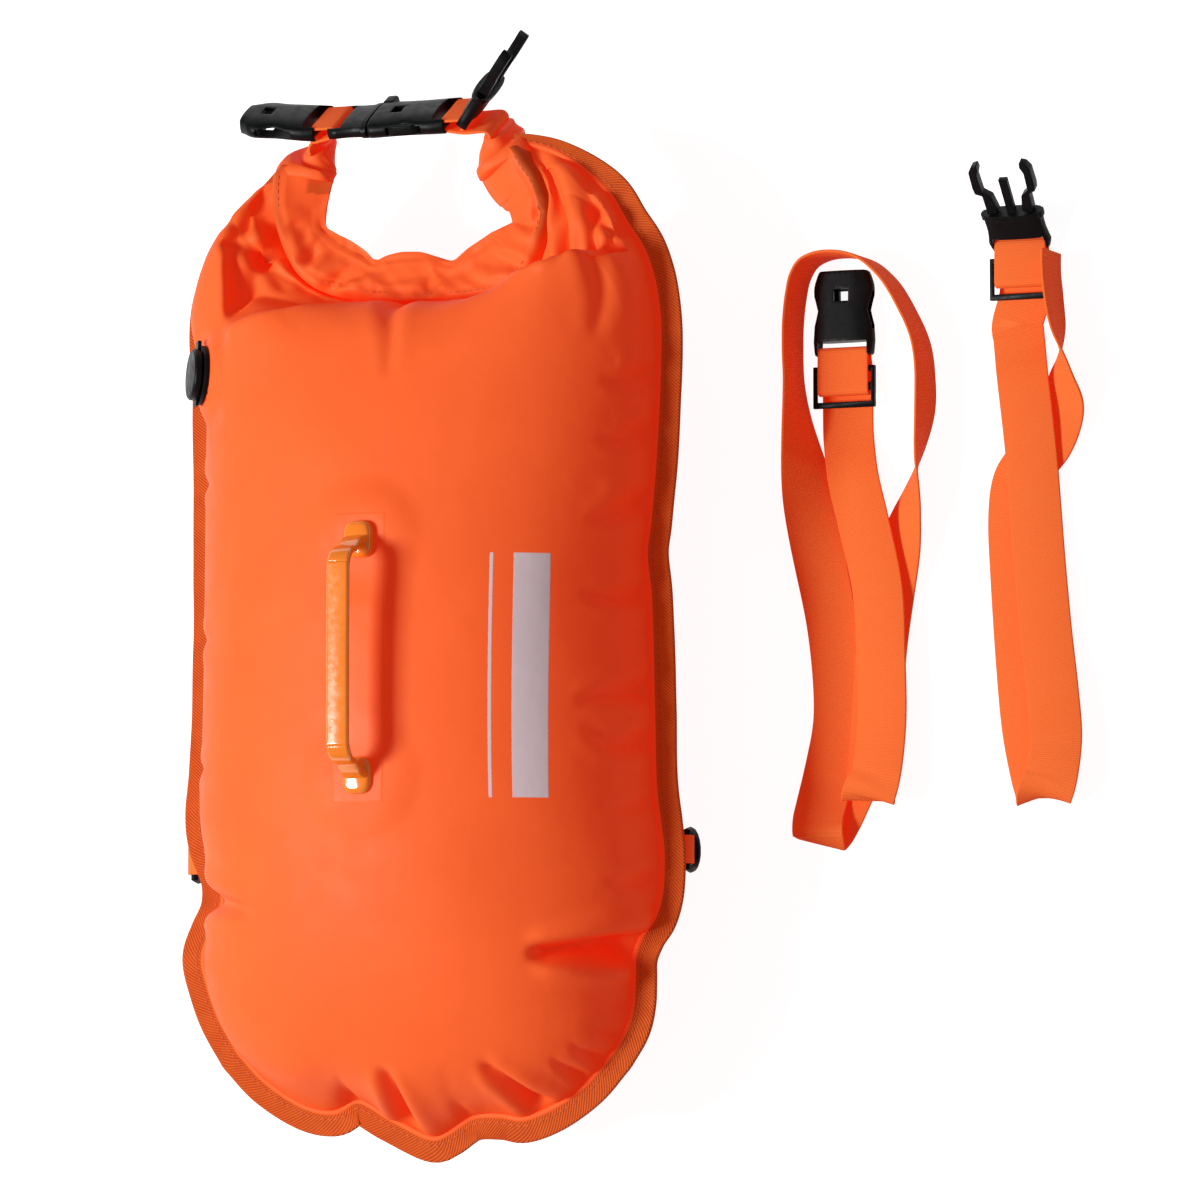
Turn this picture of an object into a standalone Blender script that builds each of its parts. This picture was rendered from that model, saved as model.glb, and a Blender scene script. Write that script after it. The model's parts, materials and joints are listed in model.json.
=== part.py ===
# Open water swim buoy: an inflatable roll-top dry bag, lying on its back, with two loose straps.
# +Z is the bag's front, +Y its mouth, +X the right hand side. The origin is under the bag's back.
import bpy
import bmesh
import math
import numpy as np
from mathutils import Matrix, Vector

# Bag
seam_half_width = 0.120
seam_half_length = 0.250
front_depth = 0.087
back_depth = 0.092
resting_flat_depth = 0.014
seam_height = back_depth - resting_flat_depth
panel_wall = 0.0014
film_wall = 0.0008
gap = 0.0003
tape_width = 0.012
tape_thickness = 0.0030
roll_width = 0.0220
roll_thickness = 0.0130
roll_wall = 0.0035
stiffener_width = 0.0125
stiffener_thickness = 0.0020

# Webbing and buckles
webbing_width = 0.027
webbing_thickness = 0.0015
webbing_pitch = 0.0020
bar_radius = 0.0015
bar_half_height = 0.0010
buckle_width = 0.033
socket_thickness = 0.0110
socket_length = 0.0415
socket_slot_end = 0.0060
cavity_end = 0.0105
cavity_half_width = 0.0135
cavity_half_height = 0.0032
base_thickness = 0.0080
base_length = 0.0205
rib_length = 0.0030
rib_thickness = 0.0105
prong_half_height = 0.0027
prong_length = 0.0295
prong_pivot = 0.0010
guide_half_width = 0.0022
buckle_joint = 0.0005

# Valve
valve_radius = 0.0150
valve_flange = 0.0022
valve_seat_height = 0.0021
valve_neck_radius = 0.0105
valve_neck_depth = 0.0120
valve_bore_radius = 0.0080
valve_web_top = -0.0030
valve_web = 0.0020
valve_vent_radius = 0.0018
valve_vent_ring_radius = 0.0044
valve_post_radius = 0.0011
valve_post_head = 0.0022
flap_radius = 0.0074
flap_thickness = 0.0010
flap_travel = 0.0030
cap_radius = 0.0130
cap_thickness = 0.0045
cap_plug_radius = 0.0074
cap_plug_depth = 0.0035
cap_tab = 0.0060
cap_tab_reach_length = 0.0042
cap_tab_thickness = 0.0018
cap_tether_thickness = 0.0013

# Handle
handle_span = 0.116
handle_width = 0.010
handle_thickness = 0.0032
handle_rise = 0.0235
handle_lean_length = 0.0090
handle_corner_radius = 0.0080
handle_pin_radius = handle_width / 2 + gap * 2
handle_centre_y = -0.015
foot_length = 0.0170
foot_width = 0.0170
foot_thickness = 0.0020

# Lower rings
ring_bar = 0.0150
ring_straight_length = 0.0039
ring_bow_length = 0.0091
ring_wire = 0.0020
ring_set_back_length = 0.0050
tab_width = 0.0200
tab_thickness = 0.0012

# Loose straps
slider_length = 0.0210
slider_width = 0.0330
slider_thickness = 0.0025
slider_rail = 0.0030
slider_middle = 0.0040
middle_turn_width = 0.0018
strap_run_length = 0.250
strap_spread_width = 0.050
strap_a_clear_width = 0.074
strap_b_clear_width = 0.0944
strap_a_start_length = 0.143
strap_b_start_length = 0.193


def clear_scene():
    for item in list(bpy.data.objects):
        bpy.data.objects.remove(item, do_unlink=True)


def material(name, colour, roughness, metallic=0.0):
    made = bpy.data.materials.new(name)
    made.use_nodes = True
    shader = made.node_tree.nodes["Principled BSDF"]
    shader.inputs["Base Color"].default_value = (*colour, 1.0)
    shader.inputs["Roughness"].default_value = roughness
    shader.inputs["Metallic"].default_value = metallic
    return made


def finish_object(name, verts, faces, mat, place=None, smooth=True):
    """One named object from points and faces, with its normals pointing out."""
    mesh = bpy.data.meshes.new(name)
    mesh.from_pydata([tuple(v) for v in verts], [], faces)
    work = bmesh.new()
    work.from_mesh(mesh)
    bmesh.ops.recalc_face_normals(work, faces=work.faces)
    if work.calc_volume(signed=True) < 0.0:
        bmesh.ops.reverse_faces(work, faces=work.faces)
    work.to_mesh(mesh)
    work.free()
    made = bpy.data.objects.new(name, mesh)
    bpy.context.collection.objects.link(made)
    made.data.materials.append(mat)
    if smooth:
        mesh.shade_smooth()
        mesh.set_sharp_from_angle(angle=math.radians(40))
    if place is not None:
        made.matrix_world = place
    return made


def smooth_curve(points, count):
    """Evenly spaced points on a Catmull-Rom curve through the given ones."""
    pts = [np.array(p, float) for p in points]
    ring = [2 * pts[0] - pts[1]] + pts + [2 * pts[-1] - pts[-2]]
    fine = []
    steps = 16
    for i in range(1, len(ring) - 2):
        a, b, c, d = ring[i - 1:i + 3]
        for k in range(steps):
            t = k / steps
            fine.append(0.5 * (2 * b + (c - a) * t + (2 * a - 5 * b + 4 * c - d) * t ** 2
                               + (3 * b - a - 3 * c + d) * t ** 3))
    fine.append(ring[-2])
    fine = np.array(fine)
    along = np.concatenate([[0.0], np.cumsum(np.linalg.norm(np.diff(fine, axis=0), axis=1))])
    wanted = np.linspace(0.0, along[-1], count)
    return np.stack([np.interp(wanted, along, fine[:, k]) for k in range(fine.shape[1])], axis=1)


def seam_points(shares, count):
    return smooth_curve([(x * seam_half_width, y * seam_half_length) for x, y in shares], count)


# The seam seen from the front, as shares of the half width and of the reach up or down.
left_shares = [(-0.87, -0.82), (-0.96, -0.75), (-1.01, -0.69), (-1.04, -0.63), (-1.01, -0.585),
               (-0.955, -0.53), (-0.955, -0.47), (-1.015, -0.40), (-1.03, -0.34), (-1.01, -0.25),
               (-1.0, -0.14), (-0.995, 0.02), (-0.995, 0.22), (-1.005, 0.50), (-1.02, 0.62),
               (-1.01, 0.69), (-0.975, 0.745), (-0.92, 0.79), (-0.84, 0.845), (-0.75, 0.91),
               (-0.635, 0.975)]
right_shares = [(0.82, -0.83), (0.885, -0.78), (0.91, -0.735), (0.915, -0.69), (0.92, -0.64),
                (0.96, -0.595), (1.01, -0.56), (1.04, -0.51), (1.045, -0.44), (1.03, -0.38),
                (1.01, -0.30), (1.0, -0.12), (0.99, 0.06), (0.97, 0.155), (0.99, 0.23),
                (1.02, 0.42), (1.03, 0.55), (1.03, 0.62), (1.015, 0.68), (0.99, 0.725),
                (0.95, 0.77), (0.88, 0.82), (0.81, 0.875), (0.70, 0.925), (0.575, 0.965),
                (0.46, 0.985), (0.375, 0.99)]
bottom_shares = [(-0.87, -0.82), (-0.74, -0.88), (-0.57, -0.928), (-0.43, -0.94), (-0.32, -0.918),
                 (-0.18, -0.952), (0.0, -0.992), (0.08, -0.985), (0.20, -0.952), (0.33, -0.95),
                 (0.43, -0.956), (0.57, -0.932), (0.71, -0.888), (0.82, -0.83)]
mouth_shares = [(-0.635, 0.975), (-0.67, 0.876), (-0.667, 0.82), (-0.63, 0.772),
                (-0.56, 0.732), (-0.45, 0.703), (-0.28, 0.684), (0.0, 0.672), (0.24, 0.674),
                (0.37, 0.69), (0.475, 0.725), (0.535, 0.775), (0.553, 0.83), (0.525, 0.885),
                (0.465, 0.928), (0.41, 0.957), (0.375, 0.99)]
across = 24
along = 34
evening_rounds = 10
mouth_start_share = 0.7
round_power = 0.5
mouth_power = 0.30


def outline_curves(columns, rows):
    left = seam_points(left_shares, rows + 1)
    right = seam_points(right_shares, rows + 1)
    bottom = seam_points(bottom_shares, columns + 1)
    mouth = seam_points(mouth_shares, columns + 1)
    return left, right, bottom, mouth


def panel_grid(columns, rows):
    """Points of the flat panel, spread between its four edges."""
    left, right, bottom, mouth = outline_curves(columns, rows)
    grid = np.zeros((rows + 1, columns + 1, 2))
    for j in range(rows + 1):
        t = j / rows
        for i in range(columns + 1):
            s = i / columns
            sides = (1 - s) * left[j] + s * right[j]
            ends = (1 - t) * bottom[i] + t * mouth[i]
            corners = ((1 - s) * (1 - t) * bottom[0] + s * (1 - t) * bottom[-1]
                       + (1 - s) * t * mouth[0] + s * t * mouth[-1])
            grid[j, i] = sides + ends - corners
    pull = np.clip((mouth_start_share - np.arange(1, rows) / rows) / mouth_start_share * 2, 0, 1)[:, None, None]
    for _ in range(evening_rounds):
        even = (grid[:-2, 1:-1] + grid[2:, 1:-1] + grid[1:-1, :-2] + grid[1:-1, 2:]) / 4
        grid[1:-1, 1:-1] += pull * (even - grid[1:-1, 1:-1])
    return grid


def inflated_rise(grid):
    """Rise of a film blown up over the grid's outline, from 0 at the edge to 1 at the top."""
    rows, columns = grid.shape[0], grid.shape[1]
    flat = grid.reshape(-1, 2)
    number = np.arange(rows * columns).reshape(rows, columns)
    stiff = np.zeros((flat.shape[0], flat.shape[0]))
    load = np.zeros(flat.shape[0])
    for j in range(rows - 1):
        for i in range(columns - 1):
            a, b, c, d = number[j, i], number[j, i + 1], number[j + 1, i + 1], number[j + 1, i]
            for tri in ((a, b, c), (a, c, d)):
                p = flat[list(tri)]
                area2 = (p[1][0] - p[0][0]) * (p[2][1] - p[0][1]) - (p[2][0] - p[0][0]) * (p[1][1] - p[0][1])
                grads = np.array([[p[1][1] - p[2][1], p[2][0] - p[1][0]],
                                  [p[2][1] - p[0][1], p[0][0] - p[2][0]],
                                  [p[0][1] - p[1][1], p[1][0] - p[0][0]]]) / area2
                stiff[np.ix_(tri, tri)] += grads @ grads.T * area2 / 2
                load[list(tri)] += area2 / 6
    inner = number[1:-1, 1:-1].ravel()
    height = np.zeros(flat.shape[0])
    height[inner] = np.linalg.solve(stiff[np.ix_(inner, inner)], load[inner])
    share = (np.maximum(height, 0.0) / height.max()).reshape(rows, columns)
    near = np.clip((np.linspace(0, 1, rows) - mouth_start_share) / (1 - mouth_start_share), 0, 1)
    middle = np.sin(np.linspace(0, math.pi, columns))
    power = round_power + (mouth_power - round_power) * np.outer(near, middle)
    return share ** power


def shell(name, outer, inner, mat):
    """A closed wall between two grids of points that share one outline."""
    rows, columns = outer.shape[0], outer.shape[1]
    verts = list(outer.reshape(-1, 3)) + list(inner.reshape(-1, 3))
    half = rows * columns
    faces = []
    for j in range(rows - 1):
        for i in range(columns - 1):
            a, b = j * columns + i, (j + 1) * columns + i
            halves = ((a, a + 1, b + 1), (a, b + 1, b))
            if (j, i) in ((0, columns - 2), (rows - 2, 0)):
                halves = ((a, a + 1, b), (a + 1, b + 1, b))
            for tri in halves:
                faces.append(tri)
                faces.append(tuple(half + k for k in reversed(tri)))
    rim = [j * columns + i for j, i in rim_places(rows, columns)]
    for k in range(len(rim)):
        a, b = rim[k], rim[(k + 1) % len(rim)]
        faces.append((a, half + a, half + b, b))
    return finish_object(name, verts, faces, mat)


def rim_places(rows, columns):
    """Rows and columns of the rim's points, in turn round the outline."""
    rim = [(0, i) for i in range(columns)]
    rim += [(j, columns - 1) for j in range(1, rows)]
    rim += [(rows - 1, i) for i in range(columns - 2, -1, -1)]
    rim += [(j, 0) for j in range(rows - 2, 0, -1)]
    return rim


sharpest_share = 0.3
least_inner_share = 0.45


def inset_grid(grid, amount):
    """The grid with its rim drawn in by an amount, square to each run of the outline."""
    last_row, last_column = grid.shape[0] - 1, grid.shape[1] - 1
    rim = rim_places(last_row + 1, last_column + 1)
    drawn = grid.copy()
    for k in range(len(rim)):
        row, column = rim[k]
        inward = grid[min(max(row, 1), last_row - 1), min(max(column, 1), last_column - 1)]
        before, here, after = grid[rim[k - 1]], grid[rim[k]], grid[rim[(k + 1) % len(rim)]]
        ways = [np.array([-run[1], run[0]]) / np.linalg.norm(run) for run in (here - before, after - here)]
        way = (ways[0] + ways[1]) / np.linalg.norm(ways[0] + ways[1])
        wanted = amount / max(way.dot(ways[0]), sharpest_share)
        drawn[rim[k]] = here + way * min(wanted, least_inner_share * np.linalg.norm(inward - here))
    return drawn


def film_points(grid, rise, depth, direction, first):
    """Outer face of a blown up panel, from its edge height upwards."""
    out = np.zeros(grid.shape[:2] + (3,))
    out[..., :2] = grid
    out[..., 2] = seam_height + direction * (first + depth * rise)
    return out


def wall_points(outer, rim_grid, direction):
    """The inner face, one wall thickness inside the outer one, flat along the rim."""
    rows, columns = outer.shape[0], outer.shape[1]
    along_u, along_v = np.zeros_like(outer), np.zeros_like(outer)
    along_u[:, 1:-1] = outer[:, 2:] - outer[:, :-2]
    along_u[:, 0], along_u[:, -1] = outer[:, 1] - outer[:, 0], outer[:, -1] - outer[:, -2]
    along_v[1:-1] = outer[2:] - outer[:-2]
    along_v[0], along_v[-1] = outer[1] - outer[0], outer[-1] - outer[-2]
    normal = np.cross(along_u, along_v) * direction
    normal /= np.linalg.norm(normal, axis=2, keepdims=True)
    inner = outer - normal * panel_wall
    rim = film_wall / 2 + gap
    outer_rise = (outer[..., 2] - seam_height) * direction - rim
    inner_rise = (inner[..., 2] - seam_height) * direction - rim
    inner_rise = np.maximum(inner_rise, outer_rise * least_inner_share)
    inner[..., 2] = seam_height + direction * (rim + inner_rise)
    for place in rim_places(rows, columns):
        inner[place] = (*rim_grid[place], outer[place][2])
    return inner


def panels(fabric):
    grid = panel_grid(across, along)
    rise = inflated_rise(grid)
    edge = inset_grid(grid, gap)
    inner_edge = inset_grid(grid, gap + panel_wall)
    first = film_wall / 2 + gap
    front_out = film_points(edge, rise, front_depth, 1.0, first)
    front = shell("front_panel", front_out, wall_points(front_out, inner_edge, 1.0), fabric)
    back_out = film_points(edge, rise, back_depth, -1.0, first)
    back_in = wall_points(back_out, inner_edge, -1.0)
    back_out[..., 2] = np.maximum(back_out[..., 2], 0.0)
    back_in[..., 2] = np.maximum(back_in[..., 2], panel_wall)
    back = shell("back_panel", back_out, back_in, fabric)
    return front, back, front_out


def divider(mat):
    edge = inset_grid(panel_grid(across, along), gap)
    ring = [edge[place] for place in rim_places(along + 1, across + 1)]
    low = [(p[0], p[1], seam_height - film_wall / 2) for p in ring]
    high = [(p[0], p[1], seam_height + film_wall / 2) for p in ring]
    n = len(ring)
    faces = [tuple(range(n)), tuple(range(2 * n - 1, n - 1, -1))]
    for k in range(n):
        j = (k + 1) % n
        faces.append((k, j, n + j, n + k))
    return finish_object("divider_film", low + high, faces, mat, smooth=False)


def sweep(name, points, widths, profile, mat, closed=False, place=None):
    """A solid swept along points: each profile point lies (side, up) from the path."""
    verts, faces = [], []
    n, m = len(points), len(profile)
    for k in range(n):
        before = points[k - 1] if (k > 0 or closed) else points[k]
        after = points[(k + 1) % n] if (k < n - 1 or closed) else points[k]
        forward = Vector(after) - Vector(before)
        forward.normalize()
        side = Vector(widths[k])
        side = (side - forward * side.dot(forward)).normalized()
        up = forward.cross(side)
        for a, b in profile:
            verts.append(Vector(points[k]) + side * a + up * b)
    spans = n if closed else n - 1
    for k in range(spans):
        base, nxt = k * m, ((k + 1) % n) * m
        for i in range(m):
            j = (i + 1) % m
            low, high = (i, j) if profile[i][0] < profile[j][0] else (j, i)
            faces.append((base + low, base + high, nxt + high))
            faces.append((base + low, nxt + high, nxt + low))
    if not closed:
        faces.append(tuple(range(m - 1, -1, -1)))
        faces.append(tuple((n - 1) * m + i for i in range(m)))
    return finish_object(name, verts, faces, mat, place)


def band_profile(width, thickness, round_steps=3):
    """A flat band's section with round edges."""
    half = thickness / 2
    straight = width / 2 - half
    section = []
    for k in range(round_steps + 1):
        angle = -math.pi / 2 + math.pi * k / round_steps
        section.append((straight + half * math.cos(angle), half * math.sin(angle)))
    for k in range(round_steps + 1):
        angle = math.pi / 2 + math.pi * k / round_steps
        section.append((-straight + half * math.cos(angle), half * math.sin(angle)))
    return section


sharpest_bend_share = 0.7


def offset_line(points, amount):
    """A flat line moved to its right hand side, its runs kept at the same distance."""
    moved = []
    last = len(points) - 1
    for k in range(len(points)):
        runs = [points[min(k + 1, last)] - points[min(k, last - 1)], points[max(k, 1)] - points[max(k - 1, 0)]]
        ways = [np.array([run[1], -run[0]]) / np.linalg.norm(run) for run in runs]
        way = (ways[0] + ways[1]) / np.linalg.norm(ways[0] + ways[1])
        moved.append(points[k] + amount * way / max(way.dot(ways[0]), sharpest_bend_share))
    return np.array(moved)


def edge_binding(mat):
    """The ribbed tape round both sides and the bottom, one solid."""
    left, right, bottom, _ = outline_curves(across, along)
    line = np.concatenate([left[::-1], bottom[1:], right[1:]])
    half = tape_thickness / 2
    section = [(0.0, half), (0.0, -half), (1.0, -half), (1.0 + half / tape_width, 0.0), (1.0, half)]
    inner = offset_line(line, gap)
    outer = offset_line(line, gap + tape_width - half)
    verts, faces = [], []
    for a, b in zip(inner, outer):
        for share, up in section:
            spot = a + (b - a) * share
            verts.append((spot[0], spot[1], seam_height + up))
    m = len(section)
    for k in range(len(line) - 1):
        for i in range(m):
            j = (i + 1) % m
            faces.append((k * m + i, k * m + j, (k + 1) * m + j, (k + 1) * m + i))
    faces.append(tuple(range(m)))
    faces.append(tuple((len(line) - 1) * m + i for i in range(m)))
    return finish_object("edge_binding", verts, faces, mat)


def roll_path(count):
    mouth = seam_points(mouth_shares, count)
    return offset_line(mouth[::-1], gap + roll_width / 2)[::-1]


def roll_frames(path):
    wide = []
    for k in range(len(path)):
        run = path[min(k + 1, len(path) - 1)] - path[max(k - 1, 0)]
        wide.append((run[1], -run[0], 0.0))
    return wide


def mouth_roll(fabric, stiff):
    path = roll_path(41)
    points = [Vector((p[0], p[1], seam_height)) for p in path]
    wide = roll_frames(path)
    outer = band_profile(roll_width, roll_thickness, 4)
    bore = band_profile(roll_width - 2 * roll_wall, roll_thickness - 2 * roll_wall, 2)
    roll = tube_sweep("mouth_roll", points, wide, outer, bore, fabric)
    strip = [(a, b) for a, b in rectangle(stiffener_width, stiffener_thickness)]
    stiffener = sweep("mouth_stiffener", points, wide, strip, stiff)
    return roll, stiffener, points, wide


def rectangle(width, height):
    return [(-width / 2, -height / 2), (width / 2, -height / 2), (width / 2, height / 2),
            (-width / 2, height / 2)]


def tube_sweep(name, points, widths, outer, bore, mat):
    """A swept wall with a bore that is open at both ends."""
    verts, faces = [], []
    rings = []
    for profile in (outer, bore):
        for k in range(len(points)):
            before, after = points[max(k - 1, 0)], points[min(k + 1, len(points) - 1)]
            forward = (after - before).normalized()
            side = Vector(widths[k])
            side = (side - forward * side.dot(forward)).normalized()
            up = forward.cross(side)
            rings.append(len(verts))
            for a, b in profile:
                verts.append(points[k] + side * a + up * b)
    n = len(points)
    for layer, profile in enumerate((outer, bore)):
        m = len(profile)
        for k in range(n - 1):
            base, nxt = rings[layer * n + k], rings[layer * n + k + 1]
            for i in range(m):
                j = (i + 1) % m
                faces.append((base + i, base + j, nxt + j, nxt + i))
    for k in (0, n - 1):
        bridge_rings(verts, faces, rings[k], len(outer), rings[n + k], len(bore))
    return finish_object(name, verts, faces, mat)


def bridge_rings(verts, faces, first, first_count, second, second_count):
    """Triangles between two rings of unlike counts, walked round together."""
    i = j = 0
    while i < first_count or j < second_count:
        if j * first_count >= i * second_count and i < first_count:
            faces.append((first + i, first + (i + 1) % first_count, second + j % second_count))
            i += 1
        else:
            faces.append((first + i % first_count, second + (j + 1) % second_count, second + j))
            j += 1


# The buckle row lies turned about X, its flat face mostly towards the mouth.
chain_turn = math.radians(58)
chain_forward_length = 0.0140
left_end_depth = 0.0120
right_end_depth = 0.0088
left_webbing_length = 0.0252
left_socket_length = 0.0157
right_base_step = 0.0100
chain_y = seam_half_length + chain_forward_length
left_mouth_x = mouth_shares[0][0] * seam_half_width
main_base_bar_x = left_mouth_x + left_webbing_length
left_socket_bar_x = left_mouth_x + left_socket_length
main_socket_bar_x = main_base_bar_x + base_length + buckle_joint + socket_length
right_base_bar_x = main_socket_bar_x + right_base_step
right_base_lean = math.radians(48)
left_socket_lean = math.radians(7)


def chain_axes():
    wide = Vector((0, math.cos(chain_turn), -math.sin(chain_turn)))
    thick = Vector((0, math.sin(chain_turn), math.cos(chain_turn)))
    return wide, thick


def chain_point(x, t):
    _, thick = chain_axes()
    return Vector((x, chain_y, seam_height)) + thick * t


def buckle_place(origin, length_way, wide, thick):
    place = Matrix((length_way, wide, thick)).transposed().to_4x4()
    place.translation = origin
    return place


def prism(name, outline, low, high, mat, place=None, smooth=False):
    n = len(outline)
    verts = [(a, b, low) for a, b in outline] + [(a, b, high) for a, b in outline]
    faces = [tuple(range(n - 1, -1, -1)), tuple(range(n, 2 * n))]
    for k in range(n):
        j = (k + 1) % n
        faces.append((k, j, n + j, n + k))
    return finish_object(name, verts, faces, mat, place, smooth)


def cut(target, cutter, solver="EXACT"):
    cutter.hide_render = True
    cutter.display_type = "WIRE"
    step = target.modifiers.new("cut", "BOOLEAN")
    step.operation = "DIFFERENCE"
    step.solver = solver
    step.object = cutter


def join_in(target, other):
    other.hide_render = True
    other.display_type = "WIRE"
    step = target.modifiers.new("join", "BOOLEAN")
    step.operation = "UNION"
    step.solver = "EXACT"
    step.object = other


def soften(target, width):
    step = target.modifiers.new("soft edge", "BEVEL")
    step.width = width
    step.segments = 1
    step.limit_method = "ANGLE"


def box_cutter(name, low, high, mat, place):
    x0, y0, z0 = low
    x1, y1, z1 = high
    return prism(name, [(x0, y0), (x1, y0), (x1, y1), (x0, y1)], z0, z1, mat, place)


def buckle_socket(name, place, mat):
    """Socket half: webbing bar at the origin, mouth at the far end of local +X."""
    half = buckle_width / 2
    end_share, waist_share, waist_start_share, waist_end_share = 0.94, 0.88, 0.34, 0.70
    length = socket_length
    side = [(-bar_half_height, half * end_share), (socket_slot_end, half), (length * waist_start_share, half),
            (length * (waist_start_share + waist_end_share) / 2, half * waist_share),
            (length * waist_end_share, half), (length - bar_radius, half),
            (length, half * end_share)]
    outline = [(a, -b) for a, b in side] + [(a, b) for a, b in reversed(side)]
    body = prism(name, outline, -socket_thickness / 2, socket_thickness / 2, mat, place)
    soften(body, bar_radius / 2)
    slot_half = webbing_width / 2 + webbing_pitch / 2
    tall = socket_thickness
    cuts = [
        ((-2 * bar_half_height, -slot_half, bar_half_height), (bar_half_height, slot_half, tall)),
        ((-2 * bar_half_height, -slot_half, -tall), (bar_half_height, slot_half, -bar_half_height)),
        ((bar_half_height, -slot_half, -tall), (socket_slot_end, slot_half, tall)),
        ((cavity_end, -cavity_half_width, -cavity_half_height),
         (length + tall, cavity_half_width, cavity_half_height)),
        ((cavity_end + bar_radius, -buckle_width, -cavity_half_height),
         (length - cavity_end, buckle_width, cavity_half_height)),
        ((length * waist_end_share - bar_radius * 2, -webbing_width / 6, -tall),
         (length * waist_end_share + bar_radius * 2, webbing_width / 6, tall)),
    ]
    for k, (low, high) in enumerate(cuts):
        cut(body, box_cutter(f"{name}_cutter_{k}", low, high, mat, place))
    return body


def buckle_base(name, place, mat):
    """Prong half without its prongs: webbing bar at the origin, guide towards local +X."""
    half = buckle_width / 2
    end_share, neck_share = 0.90, 0.94
    side = [(-bar_half_height, half * end_share), (bar_radius * 2, half), (base_length - rib_length, half * neck_share),
            (base_length - rib_length, half), (base_length, half)]
    outline = [(a, -b) for a, b in side] + [(a, b) for a, b in reversed(side)]
    body = prism(name, outline, -base_thickness / 2, base_thickness / 2, mat, place)
    rib = box_cutter(name + "_rib", (base_length - rib_length, -half * neck_share, -rib_thickness / 2),
                     (base_length, half * neck_share, rib_thickness / 2), mat, place)
    join_in(body, rib)
    guide = box_cutter(name + "_guide", (base_length - rib_length / 2, -guide_half_width, -prong_half_height / 2),
                       (base_length + prong_length * 2 / 3, guide_half_width, prong_half_height / 2), mat, place)
    join_in(body, guide)
    slot_half = webbing_width / 2 + webbing_pitch / 2
    tall = base_thickness
    cuts = [
        ((-2 * bar_half_height, -slot_half, bar_half_height), (bar_half_height, slot_half, tall)),
        ((-2 * bar_half_height, -slot_half, -tall), (bar_half_height, slot_half, -bar_half_height)),
        ((bar_half_height, -slot_half, -tall), (socket_slot_end, slot_half, tall)),
    ]
    for k, (low, high) in enumerate(cuts):
        cut(body, box_cutter(f"{name}_cutter_{k}", low, high, mat, place))
    return body


def buckle_prong(name, place, side, mat):
    """A sprung prong with its origin at the root, where it bends; side is 1 or -1."""
    root_share = 0.29
    root_y = buckle_width * root_share
    length = prong_length - gap
    shares = [(0.03, -0.10), (0.0, -0.03), (0.0, 0.075), (0.37, 0.085), (0.42, 0.19), (0.54, 0.205), (0.86, 0.20),
              (0.97, 0.14), (1.0, 0.05), (0.90, 0.04), (0.78, 0.08), (0.44, 0.07), (0.34, -0.05),
              (0.10, -0.09)]
    outline = [(gap + a * length - prong_pivot, side * b * buckle_width) for a, b in shares]
    if side < 0:
        outline.reverse()
    here = place @ Matrix.Translation((base_length + prong_pivot, side * root_y, 0.0))
    made = prism(name, outline, -prong_half_height, prong_half_height, mat, here)
    soften(made, bar_radius / 4)
    return made


def ribbon(name, points, widths, mat, width=None, thickness=None):
    wide = webbing_width if width is None else width
    thick = webbing_thickness if thickness is None else thickness
    return sweep(name, [Vector(p) for p in points], widths, rectangle(wide, thick), mat)


def around(centre_x, centre_t, radius, start, end, steps):
    """Places round a bar in the plane across it, from one angle to another."""
    return [(centre_x + radius * math.cos(a), centre_t + radius * math.sin(a))
            for a in np.linspace(math.radians(start), math.radians(end), steps)]


def end_ribbon(name, near_bar_x, far_bar_x, root, mat):
    """Webbing from a roll end, round the main buckle's bar, then round the side buckle's bar."""
    wrap = bar_radius + gap + webbing_thickness / 2
    way = 1.0 if near_bar_x > far_bar_x else -1.0
    low = -(wrap + webbing_pitch)
    path = [root, (root[0], (root[1] + low) / 2), (root[0] + way * wrap, low), (far_bar_x, low)]
    start = -80 if way > 0 else -100
    path += around(near_bar_x, 0.0, wrap, start, start + way * 160, 7)
    far_start = 90
    path += around(far_bar_x, 0.0, wrap, far_start, far_start + way * 180, 7)
    path.append((far_bar_x + way * wrap / 2, -wrap))
    wide, _ = chain_axes()
    points = [chain_point(x, t) for x, t in path]
    return ribbon(name, points, [wide] * len(points), mat)


def roll_end(name, roll_points, wide, last, top_t, mat):
    """The gathered and patched end of the roll, from its end face up to the webbing."""
    index, inner_index = (len(roll_points) - 1, len(roll_points) - 2) if last else (0, 1)
    start = roll_points[index]
    out_way = (start - roll_points[inner_index]).normalized()
    side_start = Vector(wide[index]).normalized()
    chain_wide, chain_thick = chain_axes()
    top = chain_point(start.x, top_t)
    if side_start.dot(chain_wide) < 0:
        chain_wide = -chain_wide
    first = (start + out_way * gap, out_way, side_start, roll_width, roll_thickness)
    last_ring = (top, chain_thick, chain_wide, webbing_width + webbing_pitch, 3 * webbing_pitch)
    work = bmesh.new()
    count = 16
    for centre, way, side, wide_size, thin_size in (first, last_ring):
        side = (side - way * side.dot(way)).normalized()
        up = way.cross(side)
        for i in range(count):
            angle = 2 * math.pi * i / count
            work.verts.new(centre + side * (wide_size / 2 * math.cos(angle)) + up * (thin_size / 2 * math.sin(angle)))
    hull = bmesh.ops.convex_hull(work, input=list(work.verts))
    bmesh.ops.delete(work, geom=list({v for v in hull["geom_interior"] + hull["geom_unused"]
                                      if isinstance(v, bmesh.types.BMVert)}), context="VERTS")
    work.verts.index_update()
    verts = [v.co.copy() for v in work.verts]
    faces = [tuple(v.index for v in f.verts) for f in work.faces]
    work.free()
    return finish_object(name, verts, faces, mat)


def disc(name, radius, low, high, mat, place, sides=28):
    outline = [(radius * math.cos(2 * math.pi * i / sides), radius * math.sin(2 * math.pi * i / sides))
               for i in range(sides)]
    return prism(name, outline, low, high, mat, place, smooth=True)


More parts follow.
